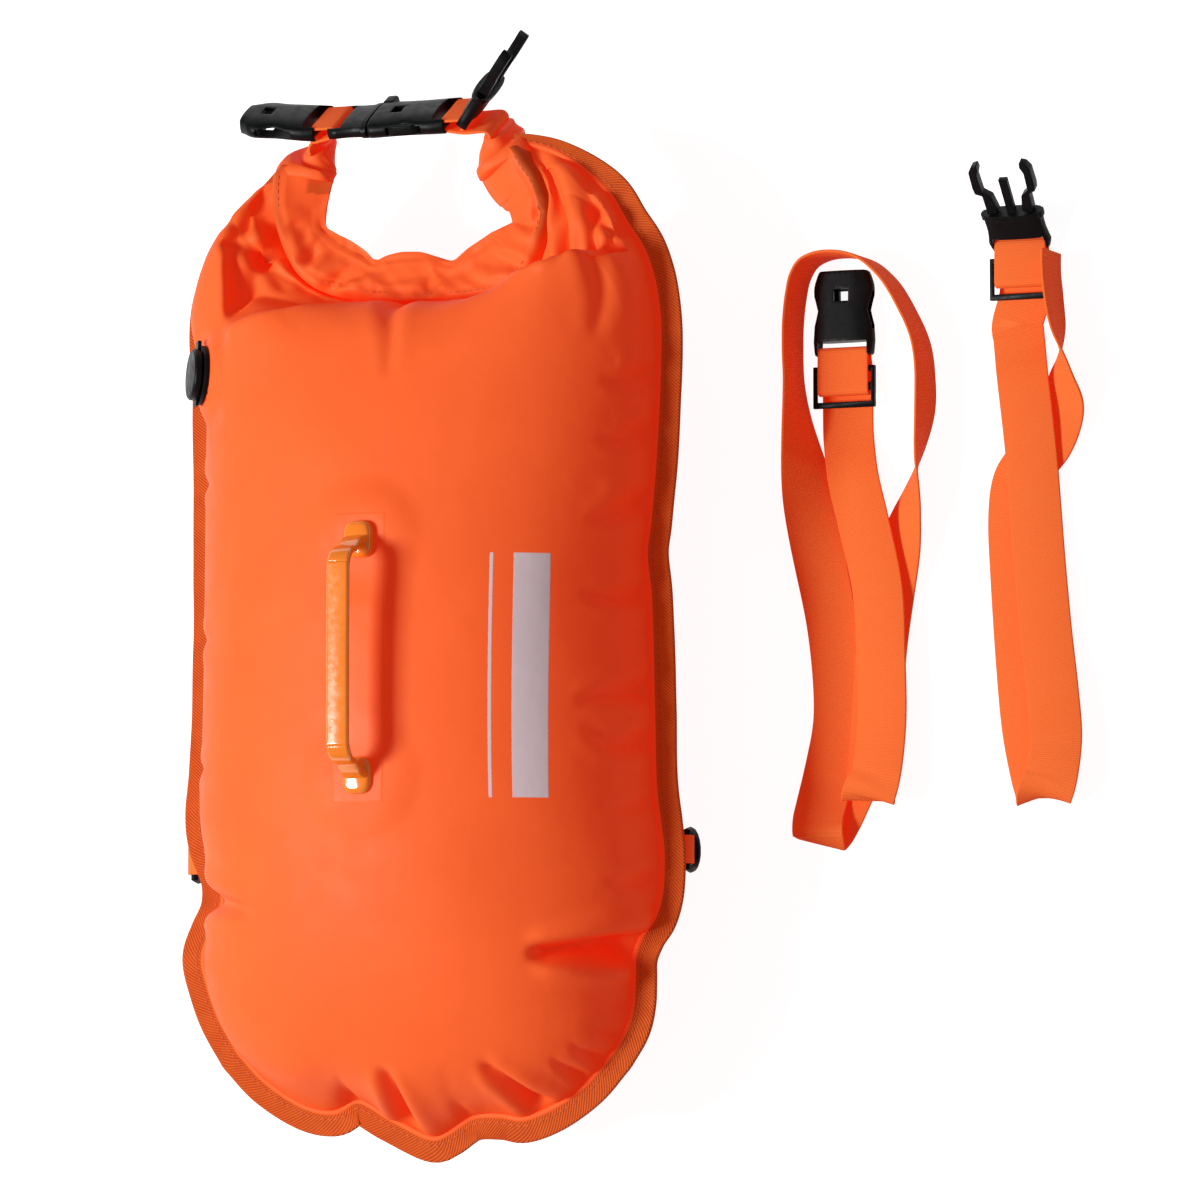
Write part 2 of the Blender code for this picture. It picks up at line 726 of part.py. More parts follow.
def turned(name, section, mat, place, sides=28):
    """A solid turned about local Z from a section, closed by a flat face at each end."""
    verts = []
    m = len(section)
    for i in range(sides):
        angle = 2 * math.pi * i / sides
        verts += [(r * math.cos(angle), r * math.sin(angle), z) for r, z in section]
    faces = [tuple(i * m for i in range(sides)), tuple(i * m + m - 1 for i in range(sides))]
    for i in range(sides):
        here, after = i * m, (i + 1) % sides * m
        for k in range(m - 1):
            faces.append((here + k, here + k + 1, after + k + 1, after + k))
    return finish_object(name, verts, faces, mat, place)


valve_row_share = 0.795
valve_column_share = 0.118


def grid_point(grid, row_share, column_share):
    """Point and outward normal on a grid of points, at shares of its rows and columns."""
    rows, columns = grid.shape[0] - 1, grid.shape[1] - 1
    v, u = row_share * rows, column_share * columns
    j, i = min(int(v), rows - 1), min(int(u), columns - 1)
    fv, fu = v - j, u - i
    p00, p01, p10, p11 = grid[j, i], grid[j, i + 1], grid[j + 1, i], grid[j + 1, i + 1]
    point = (1 - fv) * ((1 - fu) * p00 + fu * p01) + fv * ((1 - fu) * p10 + fu * p11)
    du = (1 - fv) * (p01 - p00) + fv * (p11 - p10)
    dv = (1 - fu) * (p10 - p00) + fu * (p11 - p01)
    normal = np.cross(du, dv)
    return Vector(point), Vector(normal / np.linalg.norm(normal)), Vector(dv / np.linalg.norm(dv))


def valve(front, grid, black):
    point, normal, up = grid_point(grid, valve_row_share, valve_column_share)
    up = (up - normal * up.dot(normal)).normalized()
    side = up.cross(normal)
    rise = normal * valve_seat_height
    place = Matrix((side, up, normal)).transposed().to_4x4()
    place.translation = point + rise
    hole = disc("valve_hole", valve_neck_radius + gap * 2, -valve_neck_depth, valve_neck_depth, black, place)
    cut(front, hole)
    web_low = valve_web_top - valve_web
    flap_low = web_low - gap - flap_thickness
    head_top = flap_low - flap_travel - gap
    head_low = head_top - flap_thickness
    section = [(valve_post_head, head_low), (valve_post_head, head_top),
               (valve_post_radius, head_top), (valve_post_radius, web_low), (valve_bore_radius, web_low),
               (valve_bore_radius, -valve_neck_depth), (valve_neck_radius, -valve_neck_depth),
               (valve_neck_radius, 0.0), (valve_radius, 0.0), (valve_radius, valve_flange),
               (valve_bore_radius, valve_flange), (valve_bore_radius, valve_web_top)]
    base = turned("valve_base", section, black, place)
    vents = 4
    for k in range(vents):
        turn = Matrix.Rotation(2 * math.pi * k / vents, 4, "Z")
        spot = place @ turn @ Matrix.Translation((valve_vent_ring_radius, 0.0, 0.0))
        cut(base, disc(f"valve_vent_{k}", valve_vent_radius, web_low - valve_web, 0.0, black, spot, 12), "MANIFOLD")
    flap = disc("valve_flap", flap_radius, flap_low, flap_low + flap_thickness, black, place)
    cut(flap, disc("flap_hole", valve_post_radius + gap, flap_low * 2, 0.0, black, place, 12))
    hinge = place @ Matrix.Translation((0.0, -cap_radius - cap_tab / 2, valve_flange + gap))
    cap_centre = hinge @ Matrix.Translation((0.0, cap_radius + cap_tab / 2, 0.0))
    cap = cap_disc("valve_cap", cap_centre, hinge, black)
    return base, flap, cap, place


def cap_disc(name, centre, hinge, mat):
    """The cap with its pull tab and tether, its origin on the hinge line."""
    shift = hinge.inverted() @ centre
    plug = disc(name + "_plug", cap_plug_radius, -cap_plug_depth, cap_thickness / 2, mat, centre)
    root = cap_radius - cap_tab / 4
    tab = box_cutter(name + "_tab", (-cap_tab / 2, root, 0.0),
                     (cap_tab / 2, cap_radius + cap_tab_reach_length, cap_tab_thickness), mat, centre)
    strap = box_cutter(name + "_tether", (-cap_tab / 2, -cap_radius - cap_tab / 2, 0.0),
                       (cap_tab / 2, -root, cap_tether_thickness), mat, centre)
    sides = 28
    outline = [(shift.translation.x + cap_radius * math.cos(2 * math.pi * i / sides),
                shift.translation.y + cap_radius * math.sin(2 * math.pi * i / sides)) for i in range(sides)]
    cap = prism(name, outline, 0.0, cap_thickness, mat, hinge, smooth=True)
    soften(cap, cap_thickness / 5)
    join_in(cap, plug)
    join_in(cap, tab)
    join_in(cap, strap)
    return cap


def top_near(grid, y):
    """The highest point of the front under a handle foot centred at a given y."""
    steps = 5
    best = 0.0
    for row_y in np.linspace(y - foot_length / 2, y + foot_length / 2, steps):
        cross = [[np.interp(row_y, line[:, 1], line[:, k]) for k in (0, 2)] for line in grid.transpose(1, 0, 2)]
        xs, zs = np.array(cross).T
        best = max(best, *np.interp(np.linspace(-foot_width / 2, foot_width / 2, steps), xs, zs))
    return float(best)


def handle(grid, amber):
    """The moulded carry band on the front and its two weld feet."""
    ends = (handle_centre_y - handle_span / 2, handle_centre_y + handle_span / 2)
    seats = [top_near(grid, y) + gap for y in ends]
    foot_top = max(seats) + foot_thickness
    pivot = foot_top + gap + handle_pin_radius
    feet = []
    for label, y, seat in zip(("lower", "upper"), ends, seats):
        place = Matrix.Translation((0.0, y, seat))
        outline = [(foot_width / 2 * a, foot_length / 2 * b) for a, b in
                   ((-1, -0.6), (-0.6, -1), (0.6, -1), (1, -0.6), (1, 0.6), (0.6, 1), (-0.6, 1), (-1, 0.6))]
        feet.append(prism(f"handle_foot_{label}", outline, 0.0, foot_top - seat, amber, place))
    rise = handle_rise - foot_thickness - gap - handle_pin_radius
    legs = handle_thickness / 2
    corner = handle_corner_radius
    shoulder = ends[0] + handle_lean_length
    path = [(ends[0], 0.0), (shoulder, rise - corner)]
    steps = 5
    for k in range(1, steps):
        a = math.pi / 2 * k / steps
        path.append((shoulder + corner * (1 - math.cos(a)), rise - corner + corner * math.sin(a)))
    path.append((shoulder + corner, rise))
    path += [(2 * handle_centre_y - y, z) for y, z in reversed(path)]
    points = [Vector((0.0, y - handle_centre_y, z)) for y, z in path]
    wide = [Vector((1, 0, 0))] * len(points)
    place = Matrix.Translation((0.0, handle_centre_y, pivot))
    band = sweep("handle_band", points, wide, rectangle(handle_width, 2 * legs), amber, place=place)
    for y in (-handle_span / 2, handle_span / 2):
        pin_place = place @ Matrix.Translation((0.0, y, 0.0)) @ Matrix.Rotation(math.pi / 2, 4, "X")
        pin = disc(f"handle_pin_{int(y > 0)}", handle_pin_radius, -legs - gap, legs + gap, amber, pin_place, 20)
        join_in(band, pin)
    return band, feet


ring_row_shares = {"left": -0.43, "right": -0.43}
ring_hang = math.radians(90)


def seam_side(label, y):
    """Where the side seam lies at a given height, furthest out over the tab's width."""
    curve = seam_points(left_shares if label == "left" else right_shares, along * 4)
    near = curve[np.abs(curve[:, 1] - y) < tab_width / 2]
    return near[:, 0].min() if label == "left" else near[:, 0].max()


def lower_ring(label, sign, black, orange):
    """A plastic ring that hangs in a webbing tab under the tape."""
    y = ring_row_shares[label] * seam_half_length
    seam_x = seam_side(label, y)
    bar_x = seam_x + sign * (tape_width + ring_wire + gap * 2 + tab_thickness - ring_set_back_length)
    wrap = ring_wire + gap + tab_thickness / 2
    top = seam_height - tape_thickness / 2 - gap - tab_thickness / 2
    bar_z = top - wrap
    path = [(seam_x + sign * gap * 4, top), (bar_x, top)]
    for k in range(1, 6):
        a = math.pi / 2 - math.pi * k / 6
        path.append((bar_x + sign * wrap * math.cos(a), bar_z + wrap * math.sin(a)))
    path.append((bar_x, bar_z - wrap))
    path.append((seam_x + sign * tape_width / 2, bar_z - wrap))
    points = [Vector((x, y, z)) for x, z in path]
    wide = [Vector((0, 1, 0))] * len(points)
    tab = ribbon(f"{label}_ring_tab", points, wide, orange, tab_width - ring_wire * 3, tab_thickness)
    half = ring_bar / 2 + ring_wire
    loop = [(0.0, -half), (0.0, half)]
    turns = 9
    for k in range(turns + 1):
        a = math.pi / 2 - math.pi * k / turns
        loop.append((sign * (ring_straight_length + ring_bow_length * math.cos(a)), half * math.sin(a)))
    hanging = Matrix.Rotation(sign * ring_hang, 4, "Y")
    place = Matrix.Translation((bar_x, y, bar_z)) @ hanging
    section = [(ring_wire * math.cos(2 * math.pi * i / 8), ring_wire * math.sin(2 * math.pi * i / 8))
               for i in range(8)]
    ring_points = [Vector((a, b, 0.0)) for a, b in loop]
    ring = sweep(f"{label}_ring", ring_points, [Vector((0, 0, 1))] * len(loop), section, black,
                 closed=True, place=place)
    return tab, ring


# Routes of the loose straps: shares of the spread and reach from each buckle, layers up, and the
# turn of the webbing from flat (0) to on edge (90).
strap_a_shares = [(0, -0.125, 0, 0, 0), (0.02, -0.175, 0.8, 0, 0), (0.12, -0.255, 4.2, 0, 0),
                  (0.25, -0.35, 5.2, 0, 0), (0.39, -0.479, 4.8, 0.01, 2), (0.43, -0.62, 4.2, 0.06, 5),
                  (0.45, -0.741, 3.8, 0.14, 6), (0.42, -0.843, 3.8, 0.3, 4),
                  (0.35, -0.882, 3.4, 0.34, 2), (0.3, -0.895, 3, 0.24, 0), (0.26, -0.883, 2.2, 0.1, 0),
                  (0.29, -0.828, 2, 0, 0), (0.34, -0.718, 2.4, 0, 0), (0.39, -0.598, 2.4, 0, 1),
                  (0.47, -0.489, 1.2, 0, 6), (0.6, -0.39, 0.6, 0, 20), (0.75, -0.302, 0.2, 0, 48),
                  (0.85, -0.212, 0, 0, 76), (0.92, -0.123, 0, 0, 90), (0.92, -0.042, 0, 0, 90),
                  (0.87, 0.018, 0, 0, 90), (0.74, 0.076, 0, 0, 90), (0.55, 0.138, 0, 0, 90),
                  (0.3, 0.182, 0, 0, 90), (0.05, 0.196, 0, 0, 90), (-0.18, 0.194, 0, 0, 90),
                  (-0.35, 0.176, 0, 0, 90), (-0.43, 0.14, 0, 0, 90), (-0.48, 0.076, 0, 0, 90),
                  (-0.49, 0.008, 0, 0, 90), (-0.48, -0.048, 0, 0, 90), (-0.46, -0.103, 0, 0, 96),
                  (-0.43, -0.163, 0, 0, 108), (-0.39, -0.233, 0, 0, 128), (-0.35, -0.312, 0.2, 0, 152),
                  (-0.28, -0.412, 0.8, 0, 172), (-0.17, -0.533, 1, 0, 180), (-0.1, -0.654, 1, 0, 180),
                  (-0.1, -0.744, 1, 0, 180), (-0.18, -0.825, 1, 0, 180),
                  (-0.25, -0.88, 1, 0, 180), (-0.28, -0.925, 0.8, 0.16, 180),
                  (-0.27, -0.957, 0.4, 0.31, 180),
                  (-0.25, -0.972, 0, 0.31, 180), (-0.26, -0.979, 0, 0.2, 180),
                  (-0.27, -0.978, 0, 0.08, 180), (-0.24, -0.966, 0, 0.01, 180),
                  (-0.07, -0.904, 0, 0, 180), (0.1, -0.825, 0, 0, 180), (0.2, -0.726, 0, 0, 180),
                  (0.24, -0.615, 0, 0, 180), (0.26, -0.565, 0, 0, 180)]
strap_b_shares = [(-0.08, -0.154, 0, 0, 0), (-0.04, -0.205, 1.2, 0, 0), (0.02, -0.267, 3.4, 0, 0),
                  (0.07, -0.347, 3.6, 0, 0), (0.11, -0.448, 2.8, 0, 0), (0.18, -0.629, 2.6, 0.02, 0),
                  (0.25, -0.77, 2.2, 0.08, 0), (0.34, -0.892, 2.4, 0.18, 0), (0.4, -0.984, 2.4, 0.32, 0),
                  (0.37, -1.059, 2.2, 0.42, 0), (0.29, -1.09, 1.6, 0.36, 0),
                  (0.21, -1.097, 0.8, 0.18, 0), (0.16, -1.089, 0, 0.05, 0), (0.09, -1.048, 0, 0, 0),
                  (0, -0.951, 0, 0, 0), (-0.06, -0.816, 0, 0, 0), (-0.11, -0.655, 0, 0, 0),
                  (-0.13, -0.545, 0, 0, 0), (-0.08, -0.47, 0, 0, 0), (0.08, -0.43, 0, 0, 2),
                  (0.29, -0.385, 0, 0, 8), (0.43, -0.32, 0, 0, 20), (0.47, -0.25, 0, 0, 56),
                  (0.44, -0.18, 0, 0, 84), (0.4, -0.12, 0, 0, 90), (0.37, -0.06, 0, 0, 90),
                  (0.37, -0.02, 0, 0, 90)]
strap_stations = 112
way_evening_rounds = 3
strap_b_tilt = math.radians(42)
strap_a_place = (seam_half_width + strap_a_clear_width, strap_a_start_length)
strap_b_place = (strap_a_place[0] + strap_b_clear_width, strap_b_start_length)


def square_ways(line):
    """Level ways square to a route, kept near +X where it folds over."""
    last = len(line) - 1
    ways = []
    for k in range(last + 1):
        run = line[min(k + 1, last)] - line[max(k - 1, 0)]
        ways.append(Vector((abs(run[1]) + 2 * abs(run[2]), -run[0] * math.copysign(1.0, run[1]), 0.0)).normalized())
    for _ in range(way_evening_rounds):
        ways = [(ways[max(k - 1, 0)] + ways[k] + ways[min(k + 1, last)]).normalized() for k in range(last + 1)]
    return ways


def strap_route(shares, place, bar_height):
    """Webbing from the slider, round the buckle's bar, then along the floor."""
    wrap = bar_radius + gap + webbing_thickness / 2
    slider_y = -socket_slot_end - slider_length / 2 - gap
    slider_height = slider_centre_height()
    middle_wrap = slider_thickness / 2 + gap + webbing_thickness / 2
    half = slider_middle / 2
    flat = [(slider_y + half / 3, slider_height - middle_wrap)]
    flat += [(slider_y - half - middle_turn_width * math.sin(a), slider_height - middle_wrap * math.cos(a))
             for a in np.linspace(0.0, math.pi, 6)]
    flat.append((slider_y + half, slider_height + middle_wrap))
    flat.append((slider_y + slider_length / 2, slider_height + middle_wrap))
    flat += [(wrap * math.cos(a), bar_height + wrap * math.sin(a))
             for a in np.linspace(math.radians(110), math.radians(-90), 8)]
    flat.append((-wrap - gap, bar_height - wrap))
    flat.append((slider_y + slider_length / 2 - webbing_thickness, webbing_thickness))
    flat.append((slider_y - slider_length / 3, webbing_thickness / 2))
    points = [Vector((place[0], place[1] + y, z)) for y, z in flat]
    widths = [Vector((1, 0, 0))] * len(points)
    rows = [(sx * strap_spread_width, sy * strap_run_length,
             webbing_thickness / 2 + layer * webbing_pitch
             + webbing_width * (rise + abs(math.sin(math.radians(turn))) / 2),
             math.radians(turn) * webbing_width / 2)
            for sx, sy, layer, rise, turn in shares]
    line = smooth_curve(rows, strap_stations)
    slanted = square_ways(line)
    last = len(line) - 1
    for k, (x, y, z, twist) in enumerate(line):
        angle = twist / (webbing_width / 2)
        side = slanted[k] * math.cos(angle) + Vector((0.0, 0.0, math.sin(angle)))
        run = Vector((line[min(k + 1, last)] - line[max(k - 1, 0)])[:3]).normalized()
        side = (side - run * side.dot(run)).normalized()
        lowest = (webbing_thickness * abs(run.cross(side).z) + webbing_width * abs(side.z)) / 2
        points.append(Vector((place[0] + x, place[1] + y, max(z, lowest))))
        widths.append(side)
    return points, widths


def slider_centre_height():
    return webbing_pitch + webbing_thickness + gap + webbing_thickness / 2 + slider_thickness / 2


def strap_slider(name, place, mat):
    y = -socket_slot_end - slider_length / 2 - gap
    here = Matrix.Translation((place[0], place[1] + y, slider_centre_height()))
    low_x, high_x = -slider_width / 2, slider_width / 2
    outline = [(low_x, -slider_length / 2), (high_x, -slider_length / 2), (high_x, slider_length / 2),
               (low_x, slider_length / 2)]
    body = prism(name, outline, -slider_thickness / 2, slider_thickness / 2, mat, here)
    inner = webbing_width / 2 + webbing_pitch / 2
    for k, sign in enumerate((-1, 1)):
        near, far = sign * slider_middle / 2, sign * (slider_length / 2 - slider_rail)
        low, high = min(near, far), max(near, far)
        cut(body, box_cutter(f"{name}_cutter_{k}", (-inner, low, -slider_thickness),
                             (inner, high, slider_thickness), mat, here))
    return body


def prong_pair(prefix, place, black):
    return [buckle_prong(f"{prefix}_prong_lower", place, 1, black),
            buckle_prong(f"{prefix}_prong_upper", place, -1, black)]


def build():
    clear_scene()
    orange = material("orange_fabric", (1.0, 0.15, 0.035), 0.45)
    shade = material("orange_inner", (0.8, 0.12, 0.03), 0.5)
    ribbed = material("binding_tape", (0.6, 0.13, 0.02), 0.7)
    webbing = material("webbing", (1.0, 0.20, 0.05), 0.75)
    amber = material("amber_plastic", (0.8, 0.25, 0.02), 0.2)
    black = material("black_plastic", (0.01, 0.012, 0.014), 0.4)
    front, back, outer = panels(orange)
    divider(shade)
    edge_binding(ribbed)
    _, _, roll_points, roll_wide = mouth_roll(orange, shade)

    wide, thick = chain_axes()
    main_place = buckle_place(chain_point(main_base_bar_x, 0), Vector((1, 0, 0)), wide, thick)
    buckle_base("main_buckle_base", main_place, black)
    prong_pair("main_buckle", main_place, black)
    socket_place = buckle_place(chain_point(main_socket_bar_x, 0), Vector((-1, 0, 0)), -wide, thick)
    buckle_socket("main_buckle_socket", socket_place, black)

    left_way = Vector((-1, 0, 0)) * math.cos(left_socket_lean) + thick * math.sin(left_socket_lean)
    left_place = buckle_place(chain_point(left_socket_bar_x, 0), left_way, -wide, left_way.cross(-wide))
    buckle_socket("left_side_socket", left_place, black)
    right_way = Vector((1, 0, 0)) * math.cos(right_base_lean) + thick * math.sin(right_base_lean)
    right_place = buckle_place(chain_point(right_base_bar_x, 0), right_way, wide, right_way.cross(wide))
    buckle_base("right_side_base", right_place, black)
    prong_pair("right_side", right_place, black)

    roll_end("left_roll_end", roll_points, roll_wide, False, -left_end_depth, orange)
    roll_end("right_roll_end", roll_points, roll_wide, True, -right_end_depth, orange)
    left_root = (roll_points[0].x, gap - left_end_depth)
    right_root = (roll_points[-1].x, gap - right_end_depth)
    end_ribbon("left_end_webbing", main_base_bar_x, left_socket_bar_x, left_root, webbing)
    end_ribbon("right_end_webbing", main_socket_bar_x, right_base_bar_x, right_root, webbing)

    valve(front, outer, black)
    handle(outer, amber)
    for label, sign in (("left", -1), ("right", 1)):
        lower_ring(label, sign, black, webbing)

    socket_height = socket_thickness / 2
    a_points, a_widths = strap_route(strap_a_shares, strap_a_place, socket_height)
    ribbon("strap_a_webbing", a_points, a_widths, webbing)
    a_bar = Vector((strap_a_place[0], strap_a_place[1], socket_height))
    a_place = buckle_place(a_bar, Vector((0, 1, 0)), Vector((-1, 0, 0)), Vector((0, 0, 1)))
    buckle_socket("strap_a_socket", a_place, black)
    strap_slider("strap_a_slider", strap_a_place, black)
    b_points, b_widths = strap_route(strap_b_shares, strap_b_place, socket_height)
    ribbon("strap_b_webbing", b_points, b_widths, webbing)
    b_bar = Vector((strap_b_place[0], strap_b_place[1], socket_height))
    b_way = Vector((0, math.cos(strap_b_tilt), math.sin(strap_b_tilt)))
    b_wide = Vector((-1, 0, 0))
    b_place = buckle_place(b_bar, b_way, b_wide, b_way.cross(b_wide))
    buckle_base("strap_b_base", b_place, black)
    prong_pair("strap_b", b_place, black)
    strap_slider("strap_b_slider", strap_b_place, black)


build()
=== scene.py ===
import json
import math
import bpy
import bmesh
import numpy as np
from mathutils import Matrix, Vector, noise
from mathutils.bvhtree import BVHTree

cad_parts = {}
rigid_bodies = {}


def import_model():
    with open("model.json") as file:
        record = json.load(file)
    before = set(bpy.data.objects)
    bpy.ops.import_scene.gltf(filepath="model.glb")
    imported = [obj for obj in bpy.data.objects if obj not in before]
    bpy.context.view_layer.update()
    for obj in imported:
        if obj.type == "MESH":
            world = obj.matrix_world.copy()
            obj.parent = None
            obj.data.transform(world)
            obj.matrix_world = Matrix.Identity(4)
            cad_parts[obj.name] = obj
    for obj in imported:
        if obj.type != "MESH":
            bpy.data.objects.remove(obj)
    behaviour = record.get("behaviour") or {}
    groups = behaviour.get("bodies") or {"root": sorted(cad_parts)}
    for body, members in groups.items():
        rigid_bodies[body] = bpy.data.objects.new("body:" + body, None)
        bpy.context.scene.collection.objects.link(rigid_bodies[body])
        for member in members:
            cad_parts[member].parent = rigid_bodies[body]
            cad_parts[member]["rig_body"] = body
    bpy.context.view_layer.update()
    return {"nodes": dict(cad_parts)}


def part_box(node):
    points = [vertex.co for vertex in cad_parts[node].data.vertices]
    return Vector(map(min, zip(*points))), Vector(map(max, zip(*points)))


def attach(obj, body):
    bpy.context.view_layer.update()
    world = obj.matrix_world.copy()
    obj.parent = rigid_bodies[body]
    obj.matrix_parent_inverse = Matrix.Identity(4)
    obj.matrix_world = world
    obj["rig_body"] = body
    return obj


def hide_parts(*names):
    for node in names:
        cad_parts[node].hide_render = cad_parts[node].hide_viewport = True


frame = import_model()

print("loaded the frame:", len(frame["nodes"]), "solids")


def blend(a, b, c, d, t):
    # Catmull-Rom: a smooth step from b to c at share t
    return 0.5 * (2 * b + (c - a) * t + (2 * a - 5 * b + 4 * c - d) * t ** 2
                  + (3 * b - a - 3 * c + d) * t ** 3)


def runOf(line):
    # how far along a line each of its points is
    return np.concatenate([[0.0], np.cumsum(np.linalg.norm(np.diff(line, axis=0), axis=1))])


def curveThrough(points, count, steps=16):
    pts = [np.array(p, float) for p in points]
    ring = [2 * pts[0] - pts[1]] + pts + [2 * pts[-1] - pts[-2]]
    fine = [blend(*ring[i - 1:i + 3], k / steps) for i in range(1, len(ring) - 2) for k in range(steps)]
    fine = np.array(fine + [ring[-2]])
    along = runOf(fine)
    wanted = np.linspace(0.0, along[-1], count)
    return np.stack([np.interp(wanted, along, fine[:, k]) for k in range(fine.shape[1])], axis=1)


def offsetLine(points, amount, sharpest=0.7):
    # beside a line, mitred at its corners but never further out than 1 / sharpest
    moved, last = [], len(points) - 1
    for k in range(len(points)):
        runs = [points[min(k + 1, last)] - points[min(k, last - 1)], points[max(k, 1)] - points[max(k - 1, 0)]]
        ways = [np.array([run[1], -run[0]]) / np.linalg.norm(run) for run in runs]
        way = (ways[0] + ways[1]) / np.linalg.norm(ways[0] + ways[1])
        moved.append(points[k] + amount * way / max(way.dot(ways[0]), sharpest))
    return np.array(moved)


def eased(t):
    t = np.clip(t, 0.0, 1.0)
    return t * t * (3 - 2 * t)


def bell(value, middle, width):
    return np.exp(-((value - middle) / width) ** 2)


def coordinates(mesh):
    flat = np.zeros(len(mesh.vertices) * 3)
    mesh.vertices.foreach_get("co", flat)
    return flat.reshape(-1, 3)


def setCoordinates(mesh, co):
    mesh.vertices.foreach_set("co", co.ravel())
    mesh.update()


def opened(mesh):
    work = bmesh.new()
    work.from_mesh(mesh)
    return work


def closed(work, mesh):
    work.to_mesh(mesh)
    work.free()
    return mesh


def linked(name, data):
    made = bpy.data.objects.new(name, data)
    bpy.context.collection.objects.link(made)
    return made


def newPiece(name, mesh, body, finish, replaced=()):
    made = linked(name, mesh)
    mesh.materials.clear()
    mesh.materials.append(finish)
    mesh.shade_smooth()
    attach(made, body)
    if replaced:
        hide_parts(*replaced)
    return made


def meshFrom(name, verts, faces, uvs=None):
    mesh = bpy.data.meshes.new(name)
    mesh.from_pydata([tuple(float(c) for c in v) for v in verts], [], faces)
    if uvs is not None:
        layer = mesh.uv_layers.new(name="UVMap")
        for loop in mesh.loops:
            layer.data[loop.index].uv = uvs[loop.vertex_index]
    mesh.update()
    return mesh


def outward(mesh):
    work = opened(mesh)
    bmesh.ops.recalc_face_normals(work, faces=work.faces)
    if work.calc_volume(signed=True) < 0:
        bmesh.ops.reverse_faces(work, faces=work.faces)
    return closed(work, mesh)


def applyModifiers(made):
    deps = bpy.context.evaluated_depsgraph_get()
    baked = bpy.data.meshes.new_from_object(made.evaluated_get(deps))
    made.modifiers.clear()
    old = made.data
    made.data = baked
    bpy.data.meshes.remove(old)


def rounded(width, height, radius, steps):
    pts, x, y = [], width / 2 - radius, height / 2 - radius
    for cx, cy, start in ((1, -1, -90), (1, 1, 0), (-1, 1, 90), (-1, -1, 180)):
        for k in range(steps + 1):
            a = math.radians(start + 90 * k / steps)
            pts.append((cx * x + radius * math.cos(a), cy * y + radius * math.sin(a)))
    return pts


def superRing(a, squareness):
    c, s = math.cos(a), math.sin(a)
    return (math.copysign(abs(c) ** (2 / squareness), c), math.copysign(abs(s) ** (2 / squareness), s))


def tubeFaces(rings, around):
    # the wall between rings of points, and a cap at each end
    faces = []
    for k in range(rings - 1):
        for i in range(around):
            j = (i + 1) % around
            faces.append((k * around + i, k * around + j, (k + 1) * around + j, (k + 1) * around + i))
    return faces + [tuple(range(around))[::-1], tuple((rings - 1) * around + i for i in range(around))]


def sweepMesh(name, points, sides, section, scales=None):
    verts, uvs, run = [], [], 0.0
    last = len(points) - 1
    for k, spot in enumerate(points):
        before = points[max(k - 1, 0)]
        forward = (points[min(k + 1, last)] - before).normalized()
        side = (sides[k] - forward * sides[k].dot(forward)).normalized()
        up = forward.cross(side)
        grow = scales[k] if scales is not None else 1.0
        run += (spot - before).length
        for a, b in section:
            verts.append(spot + side * a * grow + up * b * grow)
            uvs.append((run, a))
    return outward(meshFrom(name, verts, tubeFaces(len(points), len(section)), uvs))


# The bag's outline and its two panels

bag = {
    "halfWidth": 0.120, "reach": 0.250, "seamHeight": 0.078,
    "columns": 84, "rows": 130, "coarse": (24, 34), "evenBelow": 0.7, "evenOver": 0.35, "rayFrom": 0.3,
    "cutWider": 1.045, "cutLonger": 1.06,      # spare fabric, which puckers at the seam
    "frames": 20, "cap": 0.010,
}
clothRun = {"quality": 5, "mass": 0.2, "tension_stiffness": 20, "compression_stiffness": 20,
            "shear_stiffness": 8, "bending_stiffness": 0.08, "use_pressure": True,
            "uniform_pressure_force": 5.0}

# the four sides of the seam, as shares of the half width and of the reach
leftSeam = [(-0.87, -0.82), (-0.96, -0.75), (-1.01, -0.69), (-1.04, -0.63), (-1.01, -0.585),
            (-0.955, -0.53), (-0.955, -0.47), (-1.015, -0.40), (-1.03, -0.34), (-1.01, -0.25),
            (-1.0, -0.14), (-0.995, 0.02), (-0.995, 0.22), (-1.005, 0.50), (-1.02, 0.62),
            (-1.01, 0.69), (-0.975, 0.745), (-0.92, 0.79), (-0.84, 0.845), (-0.75, 0.91),
            (-0.635, 0.975)]
rightSeam = [(0.82, -0.83), (0.885, -0.78), (0.91, -0.735), (0.915, -0.69), (0.92, -0.64),
             (0.96, -0.595), (1.01, -0.56), (1.04, -0.51), (1.045, -0.44), (1.03, -0.38),
             (1.01, -0.30), (1.0, -0.12), (0.99, 0.06), (0.97, 0.155), (0.99, 0.23),
             (1.02, 0.42), (1.03, 0.55), (1.03, 0.62), (1.015, 0.68), (0.99, 0.725),
             (0.95, 0.77), (0.88, 0.82), (0.81, 0.875), (0.70, 0.925), (0.575, 0.965),
             (0.46, 0.985), (0.375, 0.99)]
bottomSeam = [(-0.87, -0.82), (-0.74, -0.88), (-0.57, -0.928), (-0.43, -0.94), (-0.32, -0.918),
              (-0.18, -0.952), (0.0, -0.992), (0.08, -0.985), (0.20, -0.952), (0.33, -0.95),
              (0.43, -0.956), (0.57, -0.932), (0.71, -0.888), (0.82, -0.83)]
mouthSeam = [(-0.635, 0.975), (-0.67, 0.876), (-0.667, 0.82), (-0.63, 0.772),
             (-0.56, 0.732), (-0.45, 0.703), (-0.28, 0.684), (0.0, 0.672), (0.24, 0.674),
             (0.37, 0.69), (0.475, 0.725), (0.535, 0.775), (0.553, 0.83), (0.525, 0.885),
             (0.465, 0.928), (0.41, 0.957), (0.375, 0.99)]


def seamLine(shares, count):
    return curveThrough([(x * bag["halfWidth"], y * bag["reach"]) for x, y in shares], count)


